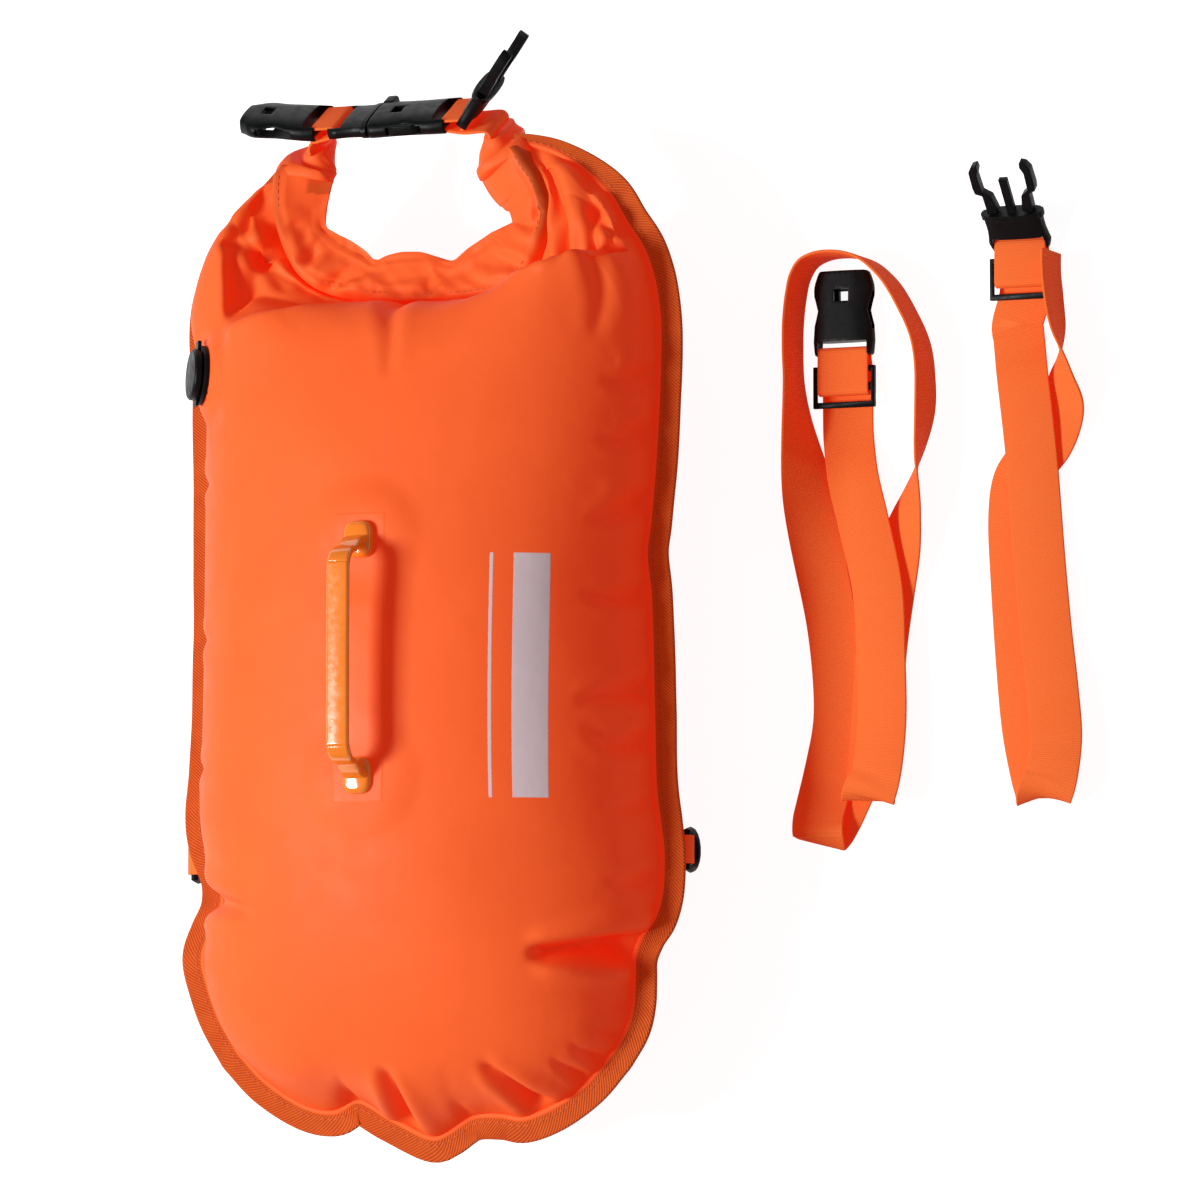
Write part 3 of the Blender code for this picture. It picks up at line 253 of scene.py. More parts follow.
def evened(grid, share, rounds):
    # each inner point moves towards the middle of its four neighbours
    for _ in range(rounds):
        even = (grid[:-2, 1:-1] + grid[2:, 1:-1] + grid[1:-1, :-2] + grid[1:-1, 2:]) / 4
        grid[1:-1, 1:-1] += share * (even - grid[1:-1, 1:-1])
    return grid


def flatGrid(columns, rows):
    left, right = seamLine(leftSeam, rows + 1), seamLine(rightSeam, rows + 1)
    bottom, mouth = seamLine(bottomSeam, columns + 1), seamLine(mouthSeam, columns + 1)
    s = np.linspace(0, 1, columns + 1)[None, :, None]
    t = np.linspace(0, 1, rows + 1)[:, None, None]
    grid = (1 - s) * left[:, None] + s * right[:, None] + (1 - t) * bottom[None] + t * mouth[None]
    grid -= ((1 - s) * (1 - t) * bottom[0] + s * (1 - t) * bottom[-1]
             + (1 - s) * t * mouth[0] + s * t * mouth[-1])
    share = np.clip((bag["evenBelow"] - np.arange(1, rows) / rows) / bag["evenOver"], 0, 1)[:, None, None]
    return evened(grid, share, 10)


def finer(grid, count, axis):
    # more points between the grid's own, at even shares
    g = np.moveaxis(grid, axis, 0)
    g = np.concatenate([2 * g[:1] - g[1:2], g, 2 * g[-1:] - g[-2:-1]])
    out = []
    for share in np.linspace(0, len(g) - 3, count + 1):
        i = min(int(share), len(g) - 4)
        out.append(blend(g[i], g[i + 1], g[i + 2], g[i + 3], share - i))
    return np.moveaxis(np.array(out), 0, axis)


def heights(grid, nodeName, direction):
    # where a straight ray from above or below meets the solid
    mesh = frame["nodes"][nodeName].data
    corners, faces = [v.co.copy() for v in mesh.vertices], [tuple(p.vertices) for p in mesh.polygons]
    tree = BVHTree.FromPolygons(corners, faces)
    rows, columns = grid.shape[:2]
    z = np.full((rows, columns), bag["seamHeight"])
    for j in range(1, rows - 1):
        for i in range(1, columns - 1):
            start = Vector((*grid[j, i], bag["seamHeight"] + direction * bag["rayFrom"]))
            spot = tree.ray_cast(start, Vector((0, 0, -direction)))[0]
            if spot is not None:
                z[j, i] = spot.z
    return evened(z, 0.5, 4)


def skinMesh():
    columns, rows = bag["columns"], bag["rows"]
    grid = finer(finer(flatGrid(*bag["coarse"]), columns, 1), rows, 0)
    verts, faces, index = [], [], {}
    for layer, z in enumerate((heights(grid, "front_panel", 1.0), heights(grid, "back_panel", -1.0))):
        for j in range(rows + 1):
            for i in range(columns + 1):
                if layer and (j in (0, rows) or i in (0, columns)):
                    index[1, j, i] = index[0, j, i]
                    continue
                index[layer, j, i] = len(verts)
                verts.append((*grid[j, i], z[j, i]))
        for j in range(rows):
            for i in range(columns):
                quad = [index[layer, j + b, i + a] for a, b in ((0, 0), (1, 0), (1, 1), (0, 1))]
                faces.append(quad[::-1] if layer else quad)
    rim = sorted({index[0, j, i] for j in range(rows + 1) for i in range(columns + 1)
                  if j in (0, rows) or i in (0, columns)})
    return np.array(verts), faces, rim


def blowUp(made, pinned):
    # the cut of the fabric is larger than the shape it is pinned to, so it folds at the seam
    start = coordinates(made.data)
    made.shape_key_add(name="sewn")
    cut = made.shape_key_add(name="cut")
    for k, spot in enumerate(start):
        cut.data[k].co = (spot[0] * bag["cutWider"], spot[1] * bag["cutLonger"], spot[2])
    group = made.vertex_groups.new(name="seam")
    group.add(pinned, 1.0, "REPLACE")
    cloth = made.modifiers.new("fabric", "CLOTH")
    for key, value in clothRun.items():
        setattr(cloth.settings, key, value)
    cloth.settings.vertex_group_mass = "seam"
    cloth.settings.rest_shape_key = cut
    cloth.settings.effector_weights.gravity = 0
    cloth.collision_settings.use_collision = False
    cloth.point_cache.frame_start = 1
    cloth.point_cache.frame_end = bag["frames"]
    scene = bpy.context.scene
    for step in range(1, bag["frames"] + 1):
        scene.frame_set(step)
    move = coordinates(made.evaluated_get(bpy.context.evaluated_depsgraph_get()).data) - start
    scene.frame_set(1)
    made.modifiers.clear()
    made.shape_key_clear()
    far = np.linalg.norm(move, axis=1, keepdims=True)
    return start + move * np.minimum(1.0, bag["cap"] / np.maximum(far, 1e-9))


def dense(made, rim):
    # the seam keeps its line while the fabric beside it is made finer
    onRim = set(rim)
    crease = made.data.attributes.new("crease_edge", "FLOAT", "EDGE")
    for k, edge in enumerate(made.data.edges):
        crease.data[k].value = 1.0 if edge.vertices[0] in onRim and edge.vertices[1] in onRim else 0.0
    finerSkin = made.modifiers.new("finer", "SUBSURF")
    finerSkin.levels = finerSkin.render_levels = 1
    applyModifiers(made)


def lineGap(co, line, steps=20):
    # distance from each point to a flat line in millimetres, and how far along the line that is
    pts = curveThrough(np.array(line) / 1000, steps)
    gap, share = np.full(len(co), 9.0), np.zeros(len(co))
    for k in range(len(pts) - 1):
        run = pts[k + 1] - pts[k]
        t = np.clip(((co[:, :2] - pts[k]) @ run) / run.dot(run), 0, 1)
        d = np.linalg.norm(co[:, :2] - pts[k] - t[:, None] * run, axis=1)
        near = d < gap
        gap[near], share[near] = d[near], (k + t[near]) / (len(pts) - 1)
    return gap, share


fold = {"from": 0.9, "fadeIn": 0.12, "fadeOut": 0.25, "taper": 0.45, "lip": 0.28, "lipAt": 2.1,
        "lipWidth": 1.2, "overSeam": 0.008}


def creased(mesh, folds):
    # each fold is a valley with a low lip on both sides, and an end of full strength doesn't fade out
    co, normals = coordinates(mesh), np.array([v.normal for v in mesh.vertices])
    move = np.zeros(len(co))
    for line, depth, width, start, end in folds:
        gap, share = lineGap(co, line)
        fade = start + (end - start) * share
        fade *= eased(share / fold["fadeIn"] + (start > fold["from"]))
        fade *= eased((1 - share) / fold["fadeOut"] + (end > fold["from"]))
        reach = width * (1.0 - fold["taper"] * share)
        lip = fold["lip"] * bell(gap, fold["lipAt"] * reach, fold["lipWidth"] * reach)
        move += depth * fade * (lip - bell(gap, 0.0, reach))
    atSeam = eased((co[:, 2] - bag["seamHeight"]) / fold["overSeam"])
    setCoordinates(mesh, co + normals * (move * atSeam)[:, None])


crest = {
    # the fold line below the mouth, in millimetres
    "line": [(-132, 150), (-110, 150), (-92, 153), (-70, 161), (-48, 166), (0, 169.5), (40, 174), (81, 180),
             (101, 187), (128, 184)],
    "drop": 0.024, "lift": 0.0105, "liftReach": 0.060, "fullHeight": 0.022, "keptShare": 0.45, "kept": 0.007,
    "width": 0.0045, "leftWidth": 0.013, "leftFrom": -0.055, "leftOver": 0.025, "leftEnd": -0.100,
    "leftFull": -0.084,
    # swellings beside the mouth: x, y, reach and height
    "puffs": [(-0.098, 0.203, 0.026, 0.011), (0.092, 0.214, 0.030, 0.007), (0.118, 0.196, 0.018, 0.006)],
    "puffOver": 0.010,
}
overhang = {"way": (-0.88, 0.34), "reach": 0.0105, "above": 0.004, "below": 0.020, "from": 0.125,
            "over": 0.040, "left": -0.070, "leftOver": 0.012}


def crested(mesh):
    # the face ends in a fold line below the mouth, and the fabric drops away above it
    co = coordinates(mesh)
    line = np.array(crest["line"]) / 1000
    past = co[:, 1] - np.interp(co[:, 0], line[:, 0], line[:, 1])
    above = co[:, 2] - bag["seamHeight"]
    inside = eased((co[:, 0] - crest["leftEnd"]) / (crest["leftFull"] - crest["leftEnd"]))
    width = crest["width"] + crest["leftWidth"] * eased((crest["leftFrom"] - co[:, 0]) / crest["leftOver"])
    fall = eased(past / width)
    climb = np.where(past < 0, np.clip(1 + past / crest["liftReach"], 0, 1) ** 2, 1 - fall)
    change = (crest["lift"] * climb - crest["drop"] * fall) * inside
    moved = above + np.clip(above / crest["fullHeight"], 0, 1) * change
    least = np.minimum(above, np.maximum(crest["keptShare"] * above, crest["kept"]))
    co[:, 2] = bag["seamHeight"] + np.where(above > 0, np.maximum(moved, least), above)
    for x, y, reach, high in crest["puffs"]:
        far = np.linalg.norm(co[:, :2] - (x, y), axis=1)
        co[:, 2] += high * bell(far, 0.0, reach) * eased((co[:, 2] - bag["seamHeight"]) / crest["puffOver"])
    # beside the mouth the blown up fabric leans out over the tape
    above = co[:, 2] - bag["seamHeight"]
    lean = eased(above / overhang["above"]) * (1 - eased((above - overhang["below"]) / overhang["below"]))
    lean *= eased((co[:, 1] - overhang["from"]) / overhang["over"])
    lean *= eased((overhang["left"] - co[:, 0]) / overhang["leftOver"])
    co[:, :2] += np.array(overhang["way"]) * overhang["reach"] * lean[:, None]
    setCoordinates(mesh, co)


def seated(mesh, centre, normal, seat, near=0.03):
    # presses or lifts the fabric to just under a part that is welded on it
    co = coordinates(mesh)
    centre, normal = np.array(centre), np.array(normal) / np.linalg.norm(normal)
    height = (co - centre) @ normal
    far = np.linalg.norm(co - centre - height[:, None] * normal, axis=1)
    share = eased((seat["reach"] - far) / (seat["reach"] - seat["full"])) * (np.abs(height) < near)
    setCoordinates(mesh, co - ((height + seat["below"]) * share)[:, None] * normal)


def holed(mesh, centre, normal, radius, near=0.01):
    centre, normal = Vector(centre), Vector(normal).normalized()
    work = opened(mesh)
    gone = []
    for v in work.verts:
        height = (v.co - centre).dot(normal)
        if abs(height) < near and (v.co - centre - height * normal).length < radius:
            gone.append(v)
    bmesh.ops.delete(work, geom=gone, context="VERTS")
    closed(work, mesh)


# Materials


def newFinish(name, colour, roughness, **settings):
    finish = bpy.data.materials.new(name)
    finish.use_nodes = True
    tree = finish.node_tree
    shader = tree.nodes["Principled BSDF"]
    shader.inputs["Base Color"].default_value = (*colour, 1.0)
    shader.inputs["Roughness"].default_value = roughness
    for key, value in settings.items():
        value = (*value, 1.0) if isinstance(value, tuple) else value
        shader.inputs[key.replace("_", " ")].default_value = value
    return finish, tree, shader


def feed(tree, shader, **sockets):
    for key, socket in sockets.items():
        tree.links.new(socket, shader.inputs[key.replace("_", " ")])


def addNode(tree, kind, inputs=None, **settings):
    made = tree.nodes.new(kind)
    for key, value in settings.items():
        setattr(made, key, value)
    for key, value in (inputs or {}).items():
        if isinstance(value, bpy.types.NodeSocket):
            tree.links.new(value, made.inputs[key])
        else:
            made.inputs[key].default_value = value
    return made


def maths(tree, operation, a, b=0.0):
    return addNode(tree, "ShaderNodeMath", {0: a, 1: b}, operation=operation).outputs[0]


def plus(tree, a, b):
    return maths(tree, "ADD", a, b)


def times(tree, a, b):
    return maths(tree, "MULTIPLY", a, b)


def colourMix(tree, share, one, two):
    mixed = addNode(tree, "ShaderNodeMix", {0: share}, data_type="RGBA")
    for socket, value in ((mixed.inputs[6], one), (mixed.inputs[7], two)):
        if isinstance(value, bpy.types.NodeSocket):
            tree.links.new(value, socket)
        else:
            socket.default_value = (*value, 1.0)
    return mixed.outputs[2]


def noiseOf(tree, where, scale, detail=3.0, rough=0.5):
    return addNode(tree, "ShaderNodeTexNoise", {"Vector": where, "Scale": scale, "Detail": detail,
                                                "Roughness": rough}).outputs["Fac"]


def remap(tree, value, low, high, newLow, newHigh):
    return addNode(tree, "ShaderNodeMapRange", {0: value, 1: low, 2: high, 3: newLow, 4: newHigh}).outputs[0]


def bumpFrom(tree, shader, heights):
    # heights: (height socket, strength, distance in metres), laid one over the other
    last = None
    for height, strength, distance in heights:
        bump = addNode(tree, "ShaderNodeBump", {"Height": height, "Strength": strength, "Distance": distance})
        if last is not None:
            tree.links.new(last, bump.inputs["Normal"])
        last = bump.outputs["Normal"]
    tree.links.new(last, shader.inputs["Normal"])


def grains(tree, where, rows):
    # rows: (scale, detail, strength, depth in metres) of noise in the surface
    return [(noiseOf(tree, where, scale, detail), strength, depth) for scale, detail, strength, depth in rows]


def wave(tree, value, period):
    return maths(tree, "SINE", times(tree, value, 2 * math.pi / period))


def stripes(tree, value, grooveShade, light):
    return colourMix(tree, remap(tree, value, -1.0, 1.0, 0.0, 1.0), grooveShade, light)


def clouds(tree, where, scale, most, one, two):
    # two colours in soft spots, with at most that share of the second
    return colourMix(tree, remap(tree, noiseOf(tree, where, scale), 0.3, 0.7, 0.0, most), one, two)


def split(tree, socket):
    return addNode(tree, "ShaderNodeSeparateXYZ", {0: socket}).outputs


def coordsOf(tree):
    return addNode(tree, "ShaderNodeTexCoord").outputs


def between(tree, value, low, high, soft):
    rise = remap(tree, value, low - soft, low + soft, 0.0, 1.0)
    fall = remap(tree, value, high - soft, high + soft, 1.0, 0.0)
    return times(tree, rise, fall)


def fieldOf(tree, x, y, across, along, soft):
    return times(tree, between(tree, x, *across, soft), between(tree, y, *along, soft))


coat = {
    "colour": (0.57, 0.128, 0.026), "bright": (0.63, 0.142, 0.030), "roughness": 0.54, "specular": 0.13,
    "paintedGlow": 0.41, "paintedGlowColour": (1.0, 0.012, 0.002),      # painted glow: red light given off by the cloth, which keeps its shaded sides bright red
    "weavePitch": 0.0011, "weave": (0.10, 0.00006),
    "grains": [(1500.0, 2.0, 0.12, 0.0001), (45.0, 3.0, 0.25, 0.002)],
    # the hem's colour is partly its own browner tone and partly painted shade; its emission is painted glow
    "hemToneAndShadeColour": (0.30, 0.060, 0.010), "hemPaintedGlow": (0.40, 0.010, 0.0), "frontFrom": bag["seamHeight"] + 0.01,
}
printing = {
    "bar": (0.0745, 0.0895), "stripe": (0.0640, 0.0655), "along": (-0.0845, 0.0355),
    "colour": (0.84, 0.64, 0.67), "soft": 0.0002, "uneven": 0.0004, "rougher": 0.1, "thick": 0.4,
}
# a smoother panel is welded on under the handle
weldPatch = {"across": (-0.013, 0.013), "along": (-0.086, 0.056), "soft": 0.0005, "smoother": 0.14,
             "relief": (0.6, 0.0003)}


def coatedFabric(name, printed=False):
    # the emission is painted glow, red light from a surface that is no lamp; the print below gets none
    finish, tree, shader = newFinish(name, coat["colour"], coat["roughness"], Emission_Strength=coat["paintedGlow"],
                                     Emission_Color=coat["paintedGlowColour"], Specular_IOR_Level=coat["specular"])
    where = coordsOf(tree)["Object"]
    x, y, z = split(tree, where)
    cloudy = remap(tree, noiseOf(tree, where, 14.0), 0.35, 0.65, 0.0, 1.0)
    base = colourMix(tree, cloudy, coat["colour"], coat["bright"])
    low, high = coat["roughness"] - 0.05, coat["roughness"] + 0.06
    rough = remap(tree, noiseOf(tree, where, 60.0, 4.0), 0.3, 0.7, low, high)
    weave = times(tree, *(wave(tree, plus(tree, side, z), coat["weavePitch"]) for side in (x, y)))
    fine, broad = grains(tree, where, coat["grains"])
    relief = [broad, (weave, *coat["weave"]), fine]
    if printed:
        front = maths(tree, "GREATER_THAN", z, coat["frontFrom"])
        edge = maths(tree, "SUBTRACT", noiseOf(tree, where, 900.0, 2.0), 0.5)
        across = plus(tree, x, times(tree, edge, printing["uneven"]))
        bar, stripe = (fieldOf(tree, across, y, printing[part], printing["along"], printing["soft"])
                       for part in ("bar", "stripe"))
        ink = times(tree, maths(tree, "MAXIMUM", bar, stripe), front)
        patch = fieldOf(tree, x, y, weldPatch["across"], weldPatch["along"], weldPatch["soft"])
        patch = times(tree, patch, front)
        feed(tree, shader, Emission_Color=colourMix(tree, ink, coat["paintedGlowColour"], (0.0, 0.0, 0.0)))
        base = colourMix(tree, ink, base, printing["colour"])
        rough = maths(tree, "SUBTRACT", rough, times(tree, patch, weldPatch["smoother"]))
        rough = plus(tree, rough, times(tree, ink, printing["rougher"]))
        raised = maths(tree, "MAXIMUM", patch, times(tree, ink, printing["thick"]))
        relief.append((raised, *weldPatch["relief"]))
    feed(tree, shader, Base_Color=base, Roughness=rough)
    bumpFrom(tree, shader, relief)
    return finish


def hemToneAndShadeFinish():
    # the rolled mouth is the same cloth, painted browner along its hem band and on a patch at its left end:
    # partly the hem's own tone, and painted shade on the right arm, where the band turns from the light
    finish = coatedFabric("hemToneAndShadeFabric")
    tree = finish.node_tree
    shader = next(node for node in tree.nodes if node.type == "BSDF_PRINCIPLED")
    cloth = shader.inputs["Base Color"].links[0].from_socket
    hemToneAndShade = addNode(tree, "ShaderNodeAttribute", attribute_name="hemToneAndShade").outputs["Fac"]
    feed(tree, shader, Base_Color=colourMix(tree, hemToneAndShade, cloth, coat["hemToneAndShadeColour"]),
         Emission_Color=colourMix(tree, hemToneAndShade, coat["paintedGlowColour"], coat["hemPaintedGlow"]))
    return finish


# grooveShade and light are painted shade in the rib grooves and painted light on the ridges
ribbed = {"colour": (0.52, 0.085, 0.010), "grooveShade": (0.26, 0.036, 0.004), "light": (0.62, 0.115, 0.012),
          "worn": (0.66, 0.14, 0.014), "paintedGlowColour": (1.0, 0.04, 0.002), "slant": 0.8, "ribPitch": 0.0016}


def tapeFinish():
    # painted glow: the tape gives off a little red light
    finish, tree, shader = newFinish("ribbedTape", ribbed["colour"], 0.75, Emission_Color=ribbed["paintedGlowColour"],
                                     Emission_Strength=0.17, Specular_IOR_Level=0.25)
    run, across, _ = split(tree, coordsOf(tree)["UV"])
    where = coordsOf(tree)["Object"]
    ribs = wave(tree, plus(tree, run, times(tree, across, ribbed["slant"])), ribbed["ribPitch"])
    # painted shade in the rib grooves and painted light on the ridges, following the bump's heights
    base = stripes(tree, ribs, ribbed["grooveShade"], ribbed["light"])
    feed(tree, shader, Base_Color=clouds(tree, where, 90.0, 0.35, base, ribbed["worn"]))
    bumpFrom(tree, shader, [(ribs, 0.7, 0.0003), *grains(tree, where, [(2500.0, 3.0, 0.4, 0.0002)])])
    return finish


# grooveShade and light are painted shade in the weave's low spots and painted light on its high ones
woven = {"colour": (0.66, 0.18, 0.038), "grooveShade": (0.60, 0.155, 0.030), "light": (0.72, 0.215, 0.048),
         "worn": (0.68, 0.17, 0.034), "paintedGlowColour": (1.0, 0.014, 0.002), "warpPitch": 0.0014,
         "weftPitch": 0.0011, "weftWave": 0.0002}


def webbingFinish():
    # painted glow: the webbing gives off red light
    finish, tree, shader = newFinish("wovenWebbing", woven["colour"], 0.66, Emission_Color=woven["paintedGlowColour"],
                                     Emission_Strength=0.34, Specular_IOR_Level=0.10)
    run, across, _ = split(tree, coordsOf(tree)["UV"])
    where = coordsOf(tree)["Object"]
    warp = wave(tree, across, woven["warpPitch"])
    weft = wave(tree, plus(tree, run, times(tree, warp, woven["weftWave"])), woven["weftPitch"])
    weave = times(tree, warp, weft)
    # painted shade where the weave is low and painted light where it is high, following the bump's heights
    base = stripes(tree, weave, woven["grooveShade"], woven["light"])
    feed(tree, shader, Base_Color=clouds(tree, where, 40.0, 0.4, base, woven["worn"]))
    bumpFrom(tree, shader, [(weave, 0.55, 0.00022), *grains(tree, where, [(3000.0, 3.0, 0.3, 0.0001)])])
    return finish


def plasticFinish(name, colour, roughness):
    finish, tree, shader = newFinish(name, colour, roughness, Specular_IOR_Level=0.11)
    where = coordsOf(tree)["Object"]
    paler = tuple(min(1.0, c * 1.35 + 0.002) for c in colour)
    rough = remap(tree, noiseOf(tree, where, 220.0, 4.0), 0.3, 0.7, roughness - 0.07, roughness + 0.10)
    feed(tree, shader, Base_Color=colourMix(tree, noiseOf(tree, where, 35.0), colour, paler), Roughness=rough)
    bumpFrom(tree, shader, grains(tree, where, [(1800.0, 3.0, 0.10, 0.00012), (120.0, 2.0, 0.10, 0.0004)]))
    return finish


glossy = {"colour": (0.86, 0.235, 0.012), "deep": (0.80, 0.170, 0.008), "light": (0.90, 0.235, 0.02),
          "paintedGlowColour": (1.0, 0.22, 0.01), "roughness": (0.12, 0.24)}


def amberFinish():
    # painted glow: the amber plastic gives off a little orange light
    finish, tree, shader = newFinish("amberPlastic", glossy["colour"], 0.16, Emission_Strength=0.10,
                                     Emission_Color=glossy["paintedGlowColour"], Coat_Weight=0.6, Coat_Roughness=0.08,
                                     Subsurface_Weight=0.12, Subsurface_Scale=0.004)
    where = coordsOf(tree)["Object"]
    feed(tree, shader, Base_Color=colourMix(tree, noiseOf(tree, where, 50.0), glossy["deep"], glossy["light"]),
         Roughness=remap(tree, noiseOf(tree, where, 300.0), 0.3, 0.7, *glossy["roughness"]))
    bumpFrom(tree, shader, grains(tree, where, [(160.0, 3.0, 0.12, 0.0005)]))
    return finish


def threadFinish():
    finish, tree, shader = newFinish("sewingThread", (0.72, 0.10, 0.015), 0.6, Sheen_Weight=0.3)
    x, y, _ = split(tree, coordsOf(tree)["Object"])
    twist = wave(tree, plus(tree, x, y), 0.0005)
    feed(tree, shader, Base_Color=stripes(tree, twist, (0.55, 0.07, 0.010), (0.85, 0.14, 0.02)))
    return finish


def filmFinish(name, colour):
    finish, tree, shader = newFinish(name, colour, 0.35)
    where = coordsOf(tree)["Object"]
    darker = tuple(c * 0.8 for c in colour)
    feed(tree, shader, Base_Color=colourMix(tree, noiseOf(tree, where, 20.0), colour, darker))
    bumpFrom(tree, shader, grains(tree, where, [(70.0, 3.0, 0.2, 0.001)]))
    return finish


fabric = coatedFabric("coatedFabric")
hemToneAndShadeFabric = hemToneAndShadeFinish()
printedFabric = coatedFabric("coatedFabricPrinted", printed=True)
tapeCloth = tapeFinish()
webCloth = webbingFinish()
thread = threadFinish()
blackPlastic = plasticFinish("blackPlastic", (0.0036, 0.0041, 0.0046), 0.42)
amber = amberFinish()
print("materials ready")

# The bag's skin: one pillow of fabric, blown up by a cloth run, then creased

folds = [
    # the line in millimetres, depth, width, strength at its start and at its end
    ([(118, -156), (104, -158.4), (89.8, -159.8), (74, -160.6)], 0.0180, 0.0060, 1.0, 0.35),
    ([(-10, -249), (-7, -238), (-5, -228), (-6, -212)], 0.0120, 0.0056, 1.0, 0.25),
    ([(66, -236), (60, -231), (54, -223), (44, -211)], 0.0105, 0.0052, 1.0, 0.22),
    ([(96, -213), (91, -208), (86, -203)], 0.0042, 0.0028, 1.0, 0.1),
    ([(86, -221), (82, -216), (77, -210)], 0.0042, 0.0028, 1.0, 0.1),
    ([(105, -203), (101, -199), (95, -194)], 0.0040, 0.0028, 1.0, 0.1),
    ([(112, -189), (107, -186), (102, -183)], 0.0034, 0.0028, 1.0, 0.1),
    ([(-121, -126), (-104, -130), (-84, -134), (-62, -139)], 0.0100, 0.0058, 1.0, 0.08),
    ([(-44, -237), (-38, -228), (-32, -217)], 0.0030, 0.0040, 1.0, 0.2),
    ([(22, -243), (23, -236), (26, -228)], 0.0016, 0.0030, 1.0, 0.1),
    ([(-4, 168), (3, 152), (6, 138), (7, 120)], 0.0030, 0.0050, 1.0, 0.15),
    ([(-86, 238), (-93, 222), (-99, 203)], 0.0046, 0.0044, 1.0, 0.9),
    ([(-87, 196), (-97, 201), (-110, 205)], 0.0038, 0.0040, 1.0, 0.5),
    ([(-87, 196), (-81, 186), (-72, 176)], 0.0032, 0.0040, 0.95, 0.4),
    ([(-88, 194), (-92, 178), (-98, 160)], 0.0036, 0.0044, 0.95, 0.4),
    ([(60, 243), (70, 222), (77, 205), (80, 186)], 0.0062, 0.0046, 1.0, 1.0),
    ([(84, 240), (90, 221), (94, 206), (96, 190)], 0.0036, 0.0040, 0.8, 1.0),
    ([(96, 210), (101, 202), (108, 199), (116, 204)], 0.0040, 0.0038, 0.95, 0.8),
    ([(108, 212), (108, 199), (113, 188)], 0.0030, 0.0038, 0.8, 0.6),
    ([(104, 188), (107, 172), (107, 158), (104, 140)], 0.0042, 0.0050, 1.0, 0.2),
    ([(122.7, 127), (116, 122), (106, 123)], 0.0034, 0.0042, 1.0, 0.1),
    ([(121.8, 98), (114, 93), (105, 95)], 0.0034, 0.0042, 1.0, 0.1),
    ([(120.4, 65), (114, 58), (102, 51)], 0.0050, 0.0044, 1.0, 0.1),
    ([(119.3, 19), (112, 15), (99, 17)], 0.0046, 0.0042, 1.0, 0.1),
    ([(120.3, -29), (113, -32), (98, -38)], 0.0050, 0.0046, 1.0, 0.1),
    ([(121.9, -54), (114, -57), (101, -47)], 0.0046, 0.0044, 1.0, 0.1),
    ([(123.3, -85), (115, -88), (107, -86)], 0.0024, 0.0034, 1.0, 0.1),
    ([(123.3, -123), (117, -125), (108, -124)], 0.0032, 0.0036, 1.0, 0.1),
    ([(-121, 83), (-113, 80), (-99, 79)], 0.0028, 0.0040, 1.0, 0.1),
    ([(-119, 2), (-110, 1), (-97, 2)], 0.0024, 0.0040, 1.0, 0.1),
    ([(-121, -62), (-112, -64), (-100, -61)], 0.0026, 0.0040, 1.0, 0.1),
]

# where parts are welded on: the fabric is level within full, and its own shape again past reach
valveSeat = {"place": (-0.11126, 0.13462, 0.10998), "way": (-0.797896, 0.060056, 0.599796), "full": 0.0158,
             "reach": 0.026, "below": 0.0003, "hole": 0.0110}
footSeat = {"full": 0.013, "reach": 0.034, "below": 0.0002}


def bagSkin():
    verts, faces, rim = skinMesh()
    made = newPiece("bagSkin", meshFrom("bagSkin", verts, faces), "bag", printedFabric,
                    ("front_panel", "back_panel"))
    setCoordinates(made.data, blowUp(made, rim))
    dense(made, rim)
    mesh = made.data
    co = coordinates(mesh)
    co[:, 2] = np.maximum(co[:, 2], 0.0)
    setCoordinates(mesh, co)
    crested(mesh)
    creased(mesh, folds)
    seated(mesh, valveSeat["place"], valveSeat["way"], valveSeat)
    holed(mesh, valveSeat["place"], valveSeat["way"], valveSeat["hole"])
    for name in ("handle_foot_lower", "handle_foot_upper"):
        low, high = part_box(name)
        spot = ((low.x + high.x) / 2, (low.y + high.y) / 2, low.z)
        seated(mesh, spot, (0, 0, 1), footSeat)
    mesh.shade_smooth()
    print("bag skin:", len(mesh.vertices), "points")


bagSkin()

# The binding tape, folded over the seam

tape = {"narrow": 0.42, "narrowOver": 0.075, "width": 0.012, "gap": 0.0003, "beadRadius": 0.0019,
        "wave": 0.0009, "waveScale": 26.0, "edgeWave": 2.2, "stations": 620, "stitchShare": 0.30,
        "stitchHeight": 0.0012}
# its section: shares of the width, and heights over the seam
tapeProfile = [(0.02, 0.0), (0.03, 0.0010), (0.10, 0.0013), (0.20, 0.0010), (0.55, 0.0011), (0.85, 0.0010),
               (0.93, 0.0013), (0.985, 0.0010), (1.0, 0.0), (0.985, -0.0010), (0.93, -0.0013), (0.85, -0.0010),
               (0.55, -0.0011), (0.20, -0.0010), (0.10, -0.0013), (0.03, -0.0010)]


def perimeter(count):
    left, bottom, right = seamLine(leftSeam, 120), seamLine(bottomSeam, 90), seamLine(rightSeam, 120)
    return curveThrough(np.concatenate([left[::-1], bottom[1:], right[1:]]), count)


def tapeLines(line, run):
    inner, outer = offsetLine(line, tape["gap"]), offsetLine(line, tape["gap"] + tape["width"])
    nearest = np.minimum(run, run[-1] - run)
    share = tape["narrow"] + (1 - tape["narrow"]) * eased(nearest / tape["narrowOver"])
    outer = inner + (outer - inner) * share[:, None]
    lift = np.array([tape["wave"] * noise.noise(Vector((p[0], p[1], 0.3)) * tape["waveScale"]) for p in line])
    return inner, outer, lift


def tapeSpot(inner, outer, lift, k, share, up):
    x, y = inner[k] + (outer[k] - inner[k]) * share
    return (x, y, bag["seamHeight"] + up + lift[k] * share * tape["edgeWave"])


